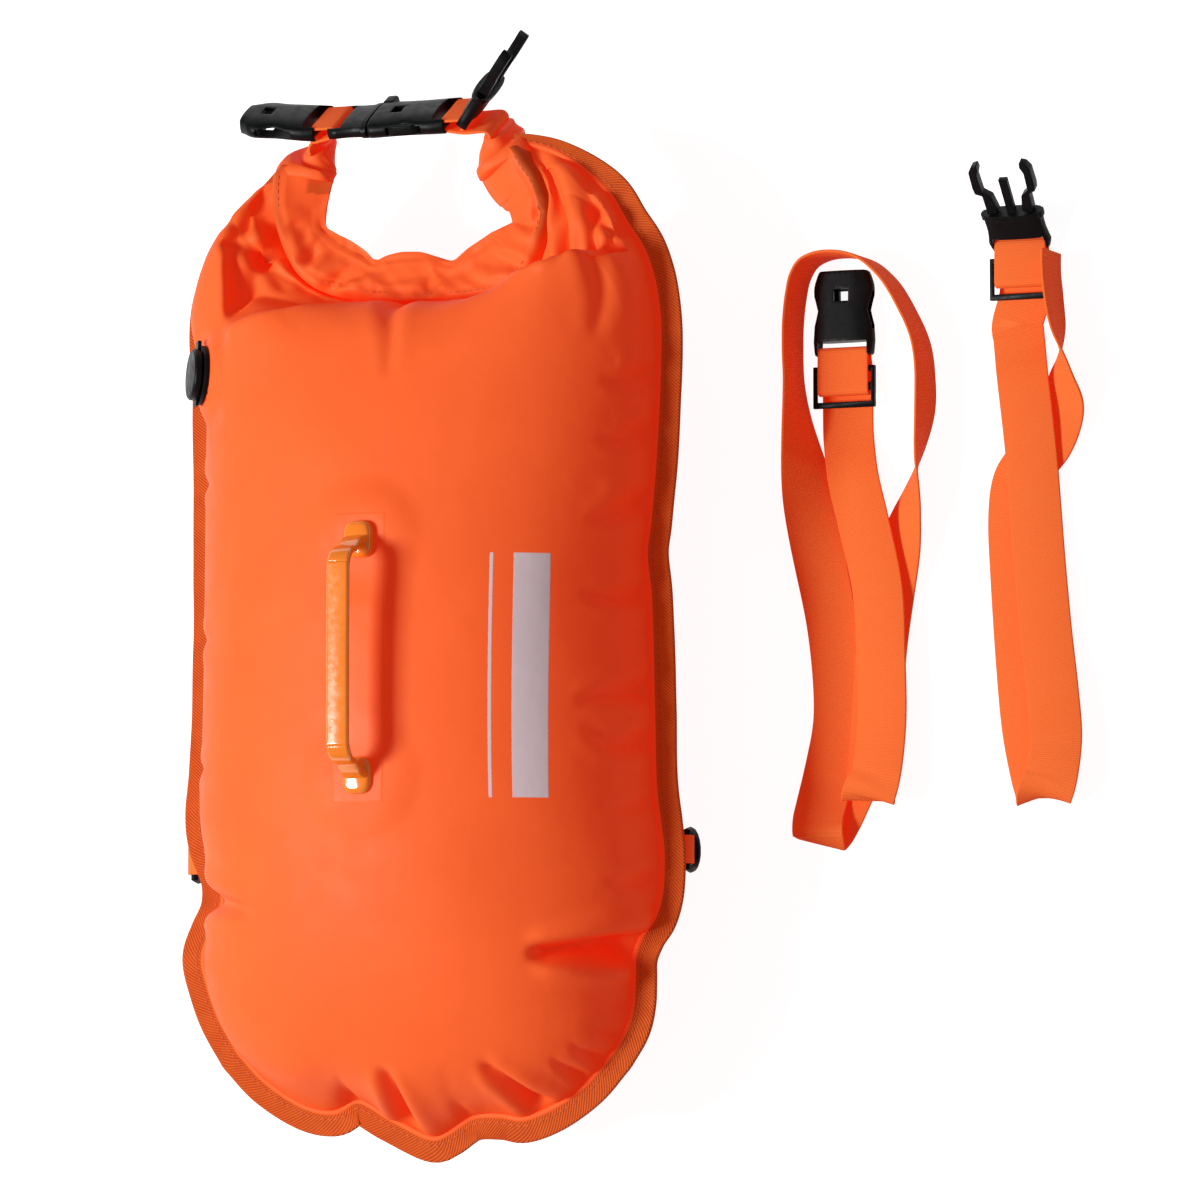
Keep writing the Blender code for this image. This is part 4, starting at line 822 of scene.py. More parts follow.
def edgeTape():
    line = perimeter(tape["stations"])
    run = runOf(line)
    edges = tapeLines(line, run)
    verts, uvs, m = [], [], len(tapeProfile)
    for k in range(len(line)):
        for i, (share, up) in enumerate(tapeProfile):
            verts.append(tapeSpot(*edges, k, share, up))
            uvs.append((run[k], share * tape["width"] * (1 if i < m // 2 else -1)))
    newPiece("edgeTape", outward(meshFrom("edgeTape", verts, tubeFaces(len(line), m), uvs)), "bag", tapeCloth,
             ("edge_binding",))
    for side, up in (("front", tape["stitchHeight"]), ("back", -tape["stitchHeight"])):
        row = [tapeSpot(*edges, k, tape["stitchShare"], up) for k in range(len(line))]
        stitchRow(f"tapeStitches.{side}", row, tapeStitch, "bag")


# Stitches, laid by Geometry Nodes along lines

tapeStitch = {"Pitch": 0.0040, "Length": 0.0030, "Thickness": 0.0006}
hemStitch = {"Pitch": 0.0036, "Length": 0.0026, "Thickness": 0.0006}


def stitchTree():
    tree = bpy.data.node_groups.new("stitchRow", "GeometryNodeTree")
    for name, kind in (("Line", "Geometry"), ("Pitch", "Float"), ("Length", "Float"), ("Thickness", "Float"),
                       ("Thread", "Material")):
        tree.interface.new_socket(name=name, in_out="INPUT", socket_type="NodeSocket" + kind)
    tree.interface.new_socket(name="Stitches", in_out="OUTPUT", socket_type="NodeSocketGeometry")
    start, end = tree.nodes.new("NodeGroupInput"), tree.nodes.new("NodeGroupOutput")
    curve = addNode(tree, "GeometryNodeMeshToCurve", {0: start.outputs["Line"]})
    spaced = addNode(tree, "GeometryNodeResampleCurve",
                     {"Curve": curve.outputs[0], "Length": start.outputs["Pitch"]}, mode="LENGTH")
    way = addNode(tree, "GeometryNodeInputTangent")
    turn = addNode(tree, "FunctionNodeAlignRotationToVector", {"Vector": way.outputs[0]}, axis="X")
    bead = addNode(tree, "GeometryNodeMeshUVSphere", {"Segments": 6, "Rings": 5, "Radius": 0.5})
    size = addNode(tree, "ShaderNodeCombineXYZ", {0: start.outputs["Length"], 1: start.outputs["Thickness"],
                                                  2: start.outputs["Thickness"]})
    placed = addNode(tree, "GeometryNodeInstanceOnPoints",
                     {"Points": spaced.outputs[0], "Instance": bead.outputs[0], "Rotation": turn.outputs[0],
                      "Scale": size.outputs[0]})
    solid = addNode(tree, "GeometryNodeRealizeInstances", {0: placed.outputs[0]})
    smooth = addNode(tree, "GeometryNodeSetShadeSmooth", {0: solid.outputs[0]})
    painted = addNode(tree, "GeometryNodeSetMaterial", {"Geometry": smooth.outputs[0],
                                                        "Material": start.outputs["Thread"]})
    tree.links.new(painted.outputs[0], end.inputs[0])
    return tree


stitching = stitchTree()


def stitchRow(name, line, sizes, body):
    mesh = bpy.data.meshes.new(name)
    mesh.from_pydata([tuple(p) for p in line], [(k, k + 1) for k in range(len(line) - 1)], [])
    made = linked(name, mesh)
    sewing = made.modifiers.new("sewing", "NODES")
    sewing.node_group = stitching
    values = {**sizes, "Thread": thread}
    for item in stitching.interface.items_tree:
        if item.name in values:
            sewing[item.identifier] = values[item.name]
    applyModifiers(made)
    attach(made, body)


def seamBead(name, line, sides=8):
    # the edge of the weld, seen as a thin round bead between skin and tape
    turns = [2 * math.pi * i / sides for i in range(sides)]
    around = [(tape["beadRadius"] * math.cos(a), tape["beadRadius"] * math.sin(a)) for a in turns]
    points = [Vector((x, y, bag["seamHeight"])) for x, y in offsetLine(line, tape["gap"])]
    newPiece(name, sweepMesh(name, points, [Vector((0, 0, 1))] * len(points), around), "bag", fabric)


edgeTape()
seamBead("seamBead", perimeter(tape["stations"]))
seamBead("mouthBead", seamLine(mouthSeam, 220)[::-1])
print("edge tape sewn on")

# The rolled mouth

roll = {
    "width": 0.0235, "under": 0.0062, "stations": 260, "acrossTop": 26, "acrossUnder": 16, "cadWidth": 0.0220,
    "gap": 0.0003, "leastReach": 0.0112, "furthest": 0.034, "reachOver": 16,
    # the arms lean outwards
    "spreadFrom": 0.198, "spreadOver": 0.040, "spreadLeft": 0.0080, "spreadRight": 0.0075,
    "cornersAt": (0.36, 0.66), "cornerOver": 0.05, "cornerPinch": 0.06, "uneven": 0.04,
    "closing": 5, "closed": 0.80,      # the last stations close in, inside the gathered ends
}
# heights over the seam from the window, at -1, across to the outer edge, at 1
rollShape = {
    "inner": 0.0004, "rise": 0.0104, "riseFrom": -1.05, "riseOver": 1.45, "middle": 0.5, "middleLow": 0.35,
    "middleOver": 0.2, "grooveAt": 0.40, "groove": 0.0010, "grooveOver": 0.055, "band": 0.0008, "bandAt": 0.70,
    "bandOver": 0.18, "least": 0.0024, "fold": 0.0024, "slack": 0.45, "middleSlack": 1.1, "slackOver": 0.22,
    # ripples: strength, scale along, slant, scale across and seed
    "ripples": [(1.3, 34, 0.9, 0.9, 2.0), (0.5, 110, -1.6, 1.2, 7.0)],
}
# where the hem and the patch at the left end are painted browner; the right arm's larger share is painted
# shade, where its band turns from the light
hemToneAndShade = {"at": 0.84, "half": 0.17, "from": 0.185, "over": 0.030, "right": 0.85, "left": 0.35, "least": 0.10,
       "patch": (-0.067, -0.053, 0.228, 0.250), "patchShare": 0.65}
# the edge of the window that the roll leaves open, in millimetres
windowEdge = [(-57, 262), (-57, 242.5), (-56, 232), (-58.6, 220), (-59.1, 211.5), (-53.2, 208), (-44.5, 203.5),
              (-36.3, 198), (-31.4, 192), (-25.5, 195), (-16.8, 196.5), (-5.9, 196), (12, 190), (19.1, 196),
              (33.2, 204), (49, 210), (48.4, 216), (45.7, 219), (43.5, 226), (39.7, 235.5), (34.3, 243.5),
              (28, 256)]
# creases pressed into the roll: the line in millimetres, depth and width
rollFolds = [([(-58, 174), (-46, 184), (-31, 192)], 0.0040, 0.0034),
             ([(-66, 190), (-60, 201), (-53, 208)], 0.0026, 0.0030),
             ([(0, 174), (7, 183), (12, 190)], 0.0034, 0.0032),
             ([(-30, 176), (-16, 182), (-2, 184)], 0.0022, 0.0034),
             ([(58, 178), (48, 186), (30, 190)], 0.0026, 0.0034),
             ([(63, 214), (58, 205), (50, 211)], 0.0026, 0.0030),
             ([(-74, 214), (-68, 206), (-64, 196)], 0.0018, 0.0030)]
rollFold = {"fadeIn": 0.15, "lip": 0.4, "lipAt": 2, "deepest": 0.6, "floor": 0.0036, "above": 0.0005,
            "over": 0.003}


def innerReach(spot, inward):
    # how far the roll runs from its middle line to the window
    found = []
    pts = [np.array(p) / 1000 for p in windowEdge]
    for a, b in zip(pts, pts[1:]):
        run, rel = b - a, a - spot
        cross = inward[0] * run[1] - inward[1] * run[0]
        if abs(cross) < 1e-9:
            continue
        t = (rel[0] * run[1] - rel[1] * run[0]) / cross
        s = (rel[0] * inward[1] - rel[1] * inward[0]) / cross
        if 0 <= s <= 1 and 0.002 < t < roll["furthest"]:
            found.append(t)
    return min(found) if found else roll["width"] / 2


def spreadOf(line):
    return eased((line[:, 1] - roll["spreadFrom"]) / roll["spreadOver"]) \
        * np.where(line[:, 0] < 0, roll["spreadLeft"], roll["spreadRight"])


def innerReaches(line, wide):
    reach = np.array([innerReach(spot, -side) for spot, side in zip(line, wide)])
    for _ in range(6):
        reach[1:-1] = (reach[:-2] + 2 * reach[1:-1] + reach[2:]) / 4
    steps = np.arange(len(line))
    ends = eased(np.minimum(steps, len(line) - 1 - steps) / roll["reachOver"])
    return np.maximum(reach * ends + roll["width"] / 2 * (1 - ends), roll["leastReach"] + spreadOf(line))


def rollLine(count):
    line = offsetLine(seamLine(mouthSeam, count)[::-1], roll["gap"] + roll["cadWidth"] / 2)[::-1]
    line[:, 0] += np.sign(line[:, 0]) * spreadOf(line)
    wide = []
    for k in range(count):
        run = line[min(k + 1, count - 1)] - line[max(k - 1, 0)]
        wide.append(np.array([run[1], -run[0]]) / np.linalg.norm(run))
    return line, wide


def rollTop(a, share, run):
    # the sewn band lies outermost, and the rolled cloth slopes from it down to the window
    s = rollShape
    low = 1 - s["middleLow"] * bell(share, s["middle"], s["middleOver"])
    z = s["inner"] + s["rise"] * eased((a - s["riseFrom"]) / s["riseOver"]) * low
    z += s["band"] * bell(a, s["bandAt"], s["bandOver"])
    z -= s["groove"] * bell(a, s["grooveAt"], s["grooveOver"])
    slack = s["slack"] + s["middleSlack"] * bell(share, s["middle"], s["slackOver"])
    for strength, alongScale, slant, acrossScale, seed in s["ripples"]:
        spot = Vector((run * alongScale + a * slant, a * acrossScale, seed))
        z += s["fold"] * slack * strength * noise.noise(spot)
    edge = max(0.0, 1 - abs(a) ** 5) ** 0.5
    return float(max(z, s["least"]) * edge if abs(a) < s["bandAt"] else z * edge)


def rollSection(share, run, inner):
    bend = sum(bell(share, corner, roll["cornerOver"]) for corner in roll["cornersAt"])
    grown = 1 - roll["cornerPinch"] * bend + roll["uneven"] * noise.noise(Vector((run * 40, 5.0, 1.0)))
    outer = roll["width"] / 2 * grown
    out = []
    for i in range(roll["acrossTop"]):
        a = -math.cos(math.pi * i / roll["acrossTop"])
        out.append((a * (inner if a < 0 else outer), rollTop(a, share, run)))
    for i in range(roll["acrossUnder"]):
        a = math.cos(math.pi * i / roll["acrossUnder"])
        out.append((a * (inner if a < 0 else outer), -roll["under"] * max(0.0, 1 - abs(a) ** 3) ** 0.5))
    return out


def pressedIn(spots):
    # a fold may only take the room over the stiffener
    over = eased((spots[:, 2] - bag["seamHeight"] - rollFold["above"]) / rollFold["over"])
    for line, depth, width in rollFolds:
        gap, share = lineGap(spots, line)
        pressed = depth * bell(gap, 0.0, width) * eased(share / rollFold["fadeIn"]) \
            - rollFold["lip"] * depth * bell(gap, rollFold["lipAt"] * width, width)
        room = np.maximum(rollFold["deepest"] * (spots[:, 2] - bag["seamHeight"] - rollFold["floor"]), 0)
        spots[:, 2] -= np.where(pressed > 0, np.minimum(pressed, room), pressed) * over


# shares of the browner hem colour, with painted shade making up most of the right arm's share
def hemToneAndShadeShares(co, count, m):
    across = np.array([abs(i / roll["acrossTop"] - hemToneAndShade["at"]) < hemToneAndShade["half"] for i in range(m)] * count)
    arm = eased((co[:, 1] - hemToneAndShade["from"]) / hemToneAndShade["over"]) * np.where(co[:, 0] > 0, hemToneAndShade["right"], hemToneAndShade["left"])
    left, right, low, high = hemToneAndShade["patch"]
    onPatch = (co[:, 0] > left) & (co[:, 0] < right) & (co[:, 1] > low) & (co[:, 1] < high)
    return np.where(onPatch, hemToneAndShade["patchShare"], (arm + hemToneAndShade["least"]) * across)


def mouthRoll():
    count, m = roll["stations"], roll["acrossTop"] + roll["acrossUnder"]
    line, wide = rollLine(count)
    run, inner = runOf(line), innerReaches(line, wide)
    spots = np.array([(*(line[k] + wide[k] * w), bag["seamHeight"] + t)
                      for k in range(count) for w, t in rollSection(k / (count - 1), run[k], inner[k])])
    pressedIn(spots)
    for k in range(count):
        close = roll["closed"] + (1 - roll["closed"]) * min(1.0, min(k, count - 1 - k) / roll["closing"])
        ring = spots[k * m:(k + 1) * m]
        spots[k * m:(k + 1) * m] = ring.mean(axis=0) + (ring - ring.mean(axis=0)) * close
    mesh = outward(meshFrom("mouthRoll", spots, tubeFaces(count, m)))
    share = mesh.attributes.new("hemToneAndShade", "FLOAT", "POINT")
    share.data.foreach_set("value", hemToneAndShadeShares(coordinates(mesh), count, m).astype(np.float32))
    made = newPiece("mouthRoll", mesh, "bag", hemToneAndShadeFabric, ("mouth_roll",))
    at, seam = rollShape["grooveAt"] + 0.10, []
    for k in range(6, count - 6):
        x, y = line[k] + wide[k] * roll["width"] / 2 * at
        seam.append((x, y, bag["seamHeight"] + rollTop(at, k / (count - 1), run[k])))
    stitchRow("rollStitches", seam, hemStitch, "bag")


mouthRoll()
print("mouth rolled")

# The roll's gathered ends, each drawn together to the end ring of its solid

gather = {
    "stations": 26, "around": 48, "ringWay": (0, 0.84805, 0.52992), "ringSide": (0, 0.52992, -0.84805),
    "inside": 0.005, "inward": 0.0003, "lift": 0.0012, "leave": 0.4, "arrive": 0.35, "startShare": 0.98,
    "width": 0.0262, "startThick": 0.0165, "thick": 0.0120, "swell": 0.0050, "squareness": 2.5,
    "pleat": 0.11, "pleats": 2.4, "pleatRun": 1.2,
}


def topRing(nodeName, way):
    # the middle of the solid's last ring of points
    pts = [v.co.copy() for v in frame["nodes"][nodeName].data.vertices]
    high = max(p.dot(way) for p in pts)
    ring = [p for p in pts if p.dot(way) > high - 1e-4]
    return sum(ring, Vector()) / len(ring)


def rollEnd(name, nodeName, last):
    g, count, m = gather, gather["stations"], gather["around"]
    line, wide = rollLine(roll["stations"])
    index, inner = (len(line) - 1, len(line) - 3) if last else (0, 2)
    start = Vector((*line[index], bag["seamHeight"]))
    out = (start - Vector((*line[inner], bag["seamHeight"]))).normalized()
    sideA, upA = Vector((*wide[index], 0.0)), Vector((0, 0, 1))
    way, sideB, upB = Vector(g["ringWay"]), Vector(g["ringSide"]), Vector((1, 0, 0))
    top = topRing(nodeName, way)
    if sideA.dot(sideB) < 0:
        sideB = -sideB
    if sideA.cross(upA).dot(out) * sideB.cross(upB).dot(way) < 0:
        upB = -upB
    spread, seed = (roll["spreadRight"], 9) if last else (roll["spreadLeft"], 3)
    start += Vector((0, 0, g["lift"])) - out * g["inside"] - sideA * (spread / 2 - g["inward"])
    reach = (top - start).length
    b0, b1, b2, b3 = start, start + out * reach * g["leave"], top - way * reach * g["arrive"], top
    verts = []
    for k in range(count):
        t = k / (count - 1)
        e, bulge = float(eased(t)), math.sin(math.pi * t)
        centre = b0 * (1 - t) ** 3 + b1 * 3 * t * (1 - t) ** 2 + b2 * 3 * t * t * (1 - t) + b3 * t ** 3
        side, up = sideA.lerp(sideB, e).normalized(), upA.lerp(upB, e).normalized()
        wideSize = (roll["width"] + spread * g["startShare"]) * (1 - e) + g["width"] * e
        thinSize = g["startThick"] * (1 - e) + g["thick"] * e + g["swell"] * bulge
        for i in range(m):
            a = 2 * math.pi * i / m
            u, v = superRing(a, g["squareness"])
            spot = Vector((math.cos(a) * g["pleats"], math.sin(a) * g["pleats"], t * g["pleatRun"] + seed))
            pleat = 1 + g["pleat"] * bulge * noise.noise(spot)
            verts.append(centre + (side * u * wideSize + up * v * thinSize) / 2 * pleat)
    mesh = outward(meshFrom(name, verts, tubeFaces(count, m)))
    newPiece(name, mesh, "bag", fabric, (nodeName,))


rollEnd("rollEnd.left", "left_roll_end", False)
rollEnd("rollEnd.right", "right_roll_end", True)
print("roll ends gathered")

# Webbing, swept again along each solid's own line

webbing = {"width": 0.027, "thickness": 0.0015, "round": 0.00062, "step": 0.0012, "match": 6e-6}


def linesOf(pairs, count):
    # which of the numbered things are next to each
    beside = {k: [] for k in range(count)}
    for a, b in pairs:
        beside[a].append(b)
        beside[b].append(a)
    return beside


def ribbonLine(nodeName):
    # the solid is a row of rings of four points, joined across by edges of its width and thickness
    work = opened(frame["nodes"][nodeName].data)
    bmesh.ops.remove_doubles(work, verts=work.verts, dist=1e-6)
    spots = [v.co.copy() for v in work.verts]
    work.verts.index_update()
    edges = [(e.verts[0].index, e.verts[1].index, e.calc_length()) for e in work.edges]
    work.free()
    sizes = (webbing["width"], webbing["thickness"])
    corners = [(a, b) for a, b, long in edges if min(abs(long - size) for size in sizes) < webbing["match"]]
    mates = linesOf(corners, len(spots))
    ringOf, rings = {}, []
    for first in range(len(spots)):
        todo, ring = [first], []
        while todo:
            k = todo.pop()
            if k not in ringOf:
                ringOf[k] = len(rings)
                ring.append(k)
                todo += mates[k]
        if ring:
            rings.append(ring)
    beside = linesOf([(ringOf[a], ringOf[b]) for a, b, _ in edges if ringOf[a] != ringOf[b]], len(rings))
    order = [min(k for k in beside if len(set(beside[k])) == 1)]
    while len(order) < len(rings):
        order.append(next(k for k in beside[order[-1]] if k not in order))
    centres, sides = [], []
    for ring in (rings[k] for k in order):
        corners = [spots[i] for i in ring]
        across = min(corners[1:], key=lambda p: abs((p - corners[0]).length - webbing["width"]))
        side = (across - corners[0]).normalized()
        sides.append(-side if sides and side.dot(sides[-1]) < 0 else side)
        centres.append(sum(corners, Vector()) / len(corners))
    return centres, sides


def ribbonPiece(name, nodeName):
    centres, sides = ribbonLine(nodeName)
    both = [(*c, *(s * 0.001)) for c, s in zip(centres, sides)]
    length = sum((b - a).length for a, b in zip(centres, centres[1:]))
    even = curveThrough(both, int(length / webbing["step"]))
    points, ways = [Vector(p[:3]) for p in even], [Vector(p[3:]).normalized() for p in even]
    section = rounded(webbing["width"], webbing["thickness"], webbing["round"], 3)
    mesh = sweepMesh(name, points, ways, section)
    newPiece(name, mesh, frame["nodes"][nodeName]["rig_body"], webCloth, (nodeName,))
    print(name, "is", round(length, 4), "m long")


for name, nodeName in (("endWebbing.left", "left_end_webbing"), ("endWebbing.right", "right_end_webbing"),
                       ("strapA.webbing", "strap_a_webbing"), ("strapB.webbing", "strap_b_webbing")):
    ribbonPiece(name, nodeName)

# Moulded pieces: the solids, with their edges rounded

moulded = {"edge": 0.00045, "segments": 2, "turn": 32, "flat": 0.8, "facet": 0.0024}


def refined(name, nodeName, finish, edge=moulded["edge"]):
    work = opened(frame["nodes"][nodeName].data)
    bmesh.ops.remove_doubles(work, verts=work.verts, dist=1e-6)
    flat = math.radians(moulded["flat"])
    bmesh.ops.dissolve_limit(work, angle_limit=flat, verts=work.verts, edges=work.edges)
    mesh = closed(work, bpy.data.meshes.new(name))
    made = newPiece(name, mesh, frame["nodes"][nodeName]["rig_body"], finish, (nodeName,))
    corners = made.modifiers.new("corners", "BEVEL")
    corners.width = edge
    corners.segments = moulded["segments"]
    corners.limit_method = "ANGLE"
    corners.angle_limit = math.radians(moulded["turn"])
    corners.harden_normals = True
    applyModifiers(made)
    return made


prongHalf, socketHalf, rowUp = 0.0205, 0.0415, (0, 0.848048, 0.529919)
# each buckle body: where its bar is, its length way, its thickness way, its length and how its far end narrows
bodies = {
    "left_side_socket": ((-0.0605, 0.264, 0.078), (-0.992546, 0.103351, 0.064581),
                         (0.121869, 0.841727, 0.525969), socketHalf, 0.34),
    "main_buckle_base": ((-0.051, 0.264, 0.078), (1, 0, 0), rowUp, prongHalf, 0.0),
    "main_buckle_socket": ((0.0115, 0.264, 0.078), (-1, 0, 0), rowUp, socketHalf, 0.0),
    "right_side_base": ((0.0215, 0.264, 0.078), (0.669131, 0.630223, 0.393807),
                        (-0.743145, 0.567455, 0.354585), prongHalf, 0.0),
    "strap_a_socket": ((0.194, 0.143, 0.0055), (0, 1, 0), (0, 0, 1), socketHalf, 0.16),
    "strap_b_base": ((0.2884, 0.193, 0.0055), (0, 0.743145, 0.669131), (0, -0.669131, 0.743145), prongHalf,
                     0.0),
}
softened = {"thinner": 0.40, "thinPower": 3.2, "rounder": 0.09, "waist": 0.05, "endOver": 0.013, "sharp": 38}
rib = {"length": 0.0064, "height": 0.0090, "thickness": 0.0105, "round": 0.0016, "along": 0.0235,
       "out": 0.0150}


def bodyAxes(nodeName):
    origin, way, thick = (np.array(v, float) for v in bodies[nodeName][:3])
    return origin, way, np.cross(thick, way), thick


def finerEdges(mesh, longest, rounds=5):
    work = opened(mesh)
    bmesh.ops.triangulate(work, faces=work.faces)
    for _ in range(rounds):
        long = [e for e in work.edges if e.calc_length() > longest]
        if not long:
            break
        bmesh.ops.subdivide_edges(work, edges=long, cuts=1)
        bmesh.ops.triangulate(work, faces=work.faces)
    closed(work, mesh)


def roundedBody(made, nodeName):
    # the moulding is thinner at its sides, waisted beside the latch and narrower at its far end
    (origin, way, side, thick), (length, narrower) = bodyAxes(nodeName), bodies[nodeName][3:]
    finerEdges(made.data, moulded["facet"])
    co = coordinates(made.data) - origin
    l, w, t = co @ way, co @ side, co @ thick
    acrossShare, upShare = np.abs(w) / np.abs(w).max(), np.abs(t) / np.abs(t).max()
    far = eased((l - length + softened["endOver"]) / softened["endOver"])
    t = t * (1 - softened["thinner"] * acrossShare ** softened["thinPower"])
    w = w * (1 - softened["rounder"] * upShare ** 2) * (1 - narrower * far ** 2)
    w *= 1 - softened["waist"] * np.sin(np.pi * np.clip(l / length, 0, 1)) ** 2
    setCoordinates(made.data, origin + l[:, None] * way + w[:, None] * side + t[:, None] * thick)
    made.data.shade_smooth()
    made.data.set_sharp_from_angle(angle=math.radians(softened["sharp"]))


def fingerRib(name, nodeName):
    # a short rounded rib that stands up from the edge of the closed buckle, where fingers pull it apart
    origin, way, side, thick = bodyAxes(nodeName)
    work = bmesh.new()
    bmesh.ops.create_cube(work, size=1.0)
    for v in work.verts:
        v.co = (v.co.x * rib["length"], v.co.y * rib["height"], v.co.z * rib["thickness"])
    bmesh.ops.bevel(work, geom=work.edges[:], offset=rib["round"], segments=4, profile=0.5, affect="EDGES")
    centre = origin + way * rib["along"] + side * rib["out"]
    for v in work.verts:
        v.co = Vector(centre + way * v.co.x + side * v.co.y + thick * v.co.z)
    newPiece(name, outward(closed(work, bpy.data.meshes.new(name))), "bag", blackPlastic)


fingerRib("mainBuckle.rib", "main_buckle_base")
for label, nodeName in (
        ("mainBuckle.base", "main_buckle_base"), ("mainBuckle.prongLower", "main_buckle_prong_lower"),
        ("mainBuckle.prongUpper", "main_buckle_prong_upper"), ("mainBuckle.socket", "main_buckle_socket"),
        ("leftBuckle.socket", "left_side_socket"), ("rightBuckle.base", "right_side_base"),
        ("rightBuckle.prongLower", "right_side_prong_lower"),
        ("rightBuckle.prongUpper", "right_side_prong_upper"), ("strapA.socket", "strap_a_socket"),
        ("strapA.slider", "strap_a_slider"), ("strapB.base", "strap_b_base"),
        ("strapB.prongLower", "strap_b_prong_lower"), ("strapB.prongUpper", "strap_b_prong_upper"),
        ("strapB.slider", "strap_b_slider"), ("ring.left", "left_ring"), ("ring.right", "right_ring"),
        ("valve.base", "valve_base"), ("valve.cap", "valve_cap")):
    made = refined(label, nodeName, blackPlastic)
    if nodeName in bodies:
        roundedBody(made, nodeName)
print("buckles, rings and valve ready")

grip = {"width": 0.0118, "thickness": 0.0036, "corner": 0.0100, "lean": 0.0060, "inset": 0.0019,
        "sunk": 0.0006, "legFoot": 0.006, "footWider": 0.22, "topNarrower": 0.06, "topOver": 0.012,
        "crown": 0.0002, "round": 0.0015}
foot = {"width": 0.0150, "length": 0.0185, "dome": 0.0016, "squareness": 3.2, "shrink": 0.28, "full": 0.92,
        "rings": 7, "around": 40}


def handleBand():
    low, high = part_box("handle_band")
    middle, span = (low.y + high.y) / 2, (high.y - low.y) / 2 - grip["inset"]
    x, base = (low.x + high.x) / 2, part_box("handle_foot_lower")[1].z - grip["sunk"]
    top, shoulder, corner = high.z - grip["thickness"] / 2, -span + grip["lean"], grip["corner"]
    half = [(-span, base), (-span + grip["lean"] * 0.25, base + grip["legFoot"]), (shoulder, top - corner)]
    for k in range(1, 9):
        a = math.pi / 2 * k / 8
        half.append((shoulder + corner * (1 - math.cos(a)), top - corner + corner * math.sin(a)))
    path = half + [(0.0, top + grip["crown"])] + [(-y, z) for y, z in reversed(half)]
    line = curveThrough(path, 150)
    points = [Vector((x, middle + y, z)) for y, z in line]
    spread = [1.0 + grip["footWider"] * float(eased((base + grip["legFoot"] - z) / grip["legFoot"]))
              - grip["topNarrower"] * float(eased((top - z) / grip["topOver"])) for y, z in line]
    section = rounded(grip["width"], grip["thickness"], grip["round"], 4)
    mesh = sweepMesh("handle.band", points, [Vector((1, 0, 0))] * len(points), section, scales=spread)
    newPiece("handle.band", mesh, "handle", amber, ("handle_band",))


def handleFoot(name, nodeName):
    low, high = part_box(nodeName)
    middle = (low + high) / 2
    verts, rings, m = [], foot["rings"], foot["around"]
    for k in range(rings):
        t = k / (rings - 1)
        shrink = 1.0 - foot["shrink"] * t ** 3
        z = low.z + (high.z - low.z + foot["dome"] * t) * math.sin(t * math.pi / 2) * foot["full"]
        for i in range(m):
            u, v = superRing(2 * math.pi * i / m, foot["squareness"])
            across, along = u * foot["width"] / 2 * shrink, v * foot["length"] / 2 * shrink
            verts.append((middle.x + across, middle.y + along, z))
    mesh = outward(meshFrom(name, verts, tubeFaces(rings, m)))
    newPiece(name, mesh, "bag", amber, (nodeName,))


handleBand()
handleFoot("handle.footLower", "handle_foot_lower")
handleFoot("handle.footUpper", "handle_foot_upper")
for nodeName in ("left_ring_tab", "right_ring_tab"):
    refined(nodeName.replace("_", "."), nodeName, webCloth, 0.0003)

# pieces inside, which keep the solid's own form
keptFinishes = {"divider_film": filmFinish("innerFilm", (0.80, 0.75, 0.68)),
                "mouth_stiffener": filmFinish("innerStrip", (0.65, 0.62, 0.58)),
                "valve_flap": plasticFinish("flapRubber", (0.02, 0.02, 0.02), 0.6)}
for nodeName, finish in keptFinishes.items():
    mesh = frame["nodes"][nodeName].data
    for k in range(len(mesh.materials)):
        mesh.materials[k] = finish

# Camera, floor and light

view = {"tilt": 23.0, "below": 5.0, "distance": 4.0, "lens": 240.0, "sensor": 36.0, "far": 20.0,
        "right": 0.0845, "up": 0.020}
ground = {"size": 3.0, "low": -0.0004, "grey": (0.40, 0.40, 0.40, 1), "seen": 0.93}
lamp = {"place": (-1.38, -0.34, 2.28), "aim": (0.06, 0, 0.05), "size": 0.66, "power": 75.0, "sky": 0.17}


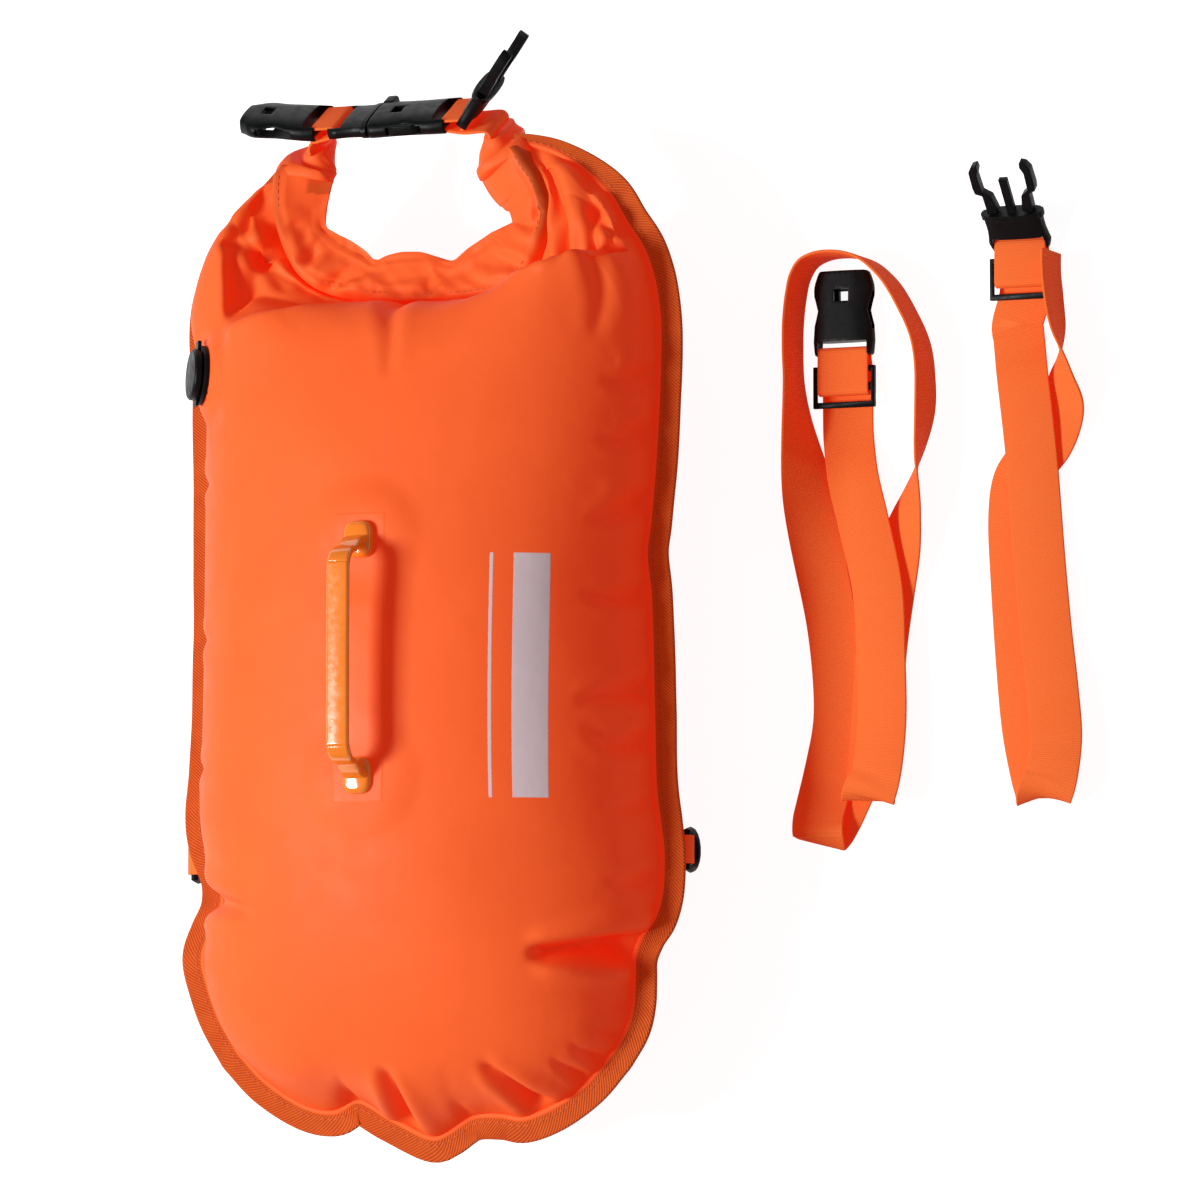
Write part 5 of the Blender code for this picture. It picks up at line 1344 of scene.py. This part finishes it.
def photoCamera():
    a, b = math.radians(view["tilt"]), math.radians(view["below"])
    right = Vector((math.cos(a), 0, -math.sin(a)))
    up = Vector((math.sin(a) * math.sin(b), math.cos(b), math.cos(a) * math.sin(b)))
    back = right.cross(up)
    lens = bpy.data.cameras.new("camera")
    lens.lens, lens.sensor_width, lens.clip_end = view["lens"], view["sensor"], view["far"]
    made = linked("camera", lens)
    turn = Matrix((right, up, back)).transposed().to_4x4()
    aim = Vector((0, 0, bag["seamHeight"])) + right * view["right"] + up * view["up"]
    turn.translation = aim + back * view["distance"]
    made.matrix_world = turn
    bpy.context.scene.camera = made


def whiteFloor():
    size, low = ground["size"], ground["low"]
    corners = [(x * size, y * size, low) for x, y in ((-1, -1), (1, -1), (1, 1), (-1, 1))]
    mesh = meshFrom("floor", corners, [(0, 1, 2, 3)])
    finish = bpy.data.materials.new("paleFloor")
    finish.use_nodes = True
    tree = finish.node_tree
    tree.nodes.clear()
    end = tree.nodes.new("ShaderNodeOutputMaterial")
    matt = addNode(tree, "ShaderNodeBsdfDiffuse", {"Color": ground["grey"]})
    rays = addNode(tree, "ShaderNodeLightPath").outputs
    seen = maths(tree, "MAXIMUM", rays["Is Camera Ray"], rays["Is Glossy Ray"])
    seen = times(tree, maths(tree, "MAXIMUM", seen, rays["Is Transmission Ray"]), ground["seen"])
    shine = addNode(tree, "ShaderNodeEmission", {"Color": (1, 1, 1, 1), "Strength": seen})
    both = addNode(tree, "ShaderNodeAddShader", {0: matt.outputs[0], 1: shine.outputs[0]})
    tree.links.new(both.outputs[0], end.inputs[0])
    mesh.materials.append(finish)
    floor = linked("floor", mesh)


def studioLight():
    world = bpy.data.worlds.new("studio")
    bpy.context.scene.world = world
    world.use_nodes = True
    tree = world.node_tree
    sky = tree.nodes["Background"]
    sky.inputs[0].default_value = (1, 1, 1, 1)
    rays = addNode(tree, "ShaderNodeLightPath")
    tree.links.new(remap(tree, rays.outputs["Is Camera Ray"], 0.0, 1.0, lamp["sky"], 1.0), sky.inputs[1])
    key = bpy.data.lights.new("key", "AREA")
    key.energy, key.size = lamp["power"], lamp["size"]
    made = linked("key", key)
    made.location = lamp["place"]
    made.rotation_euler = (Vector(lamp["aim"]) - Vector(lamp["place"])).to_track_quat("-Z", "Y").to_euler()


photoCamera()
whiteFloor()
studioLight()
bpy.context.scene.view_settings.view_transform = "Standard"

print("done")
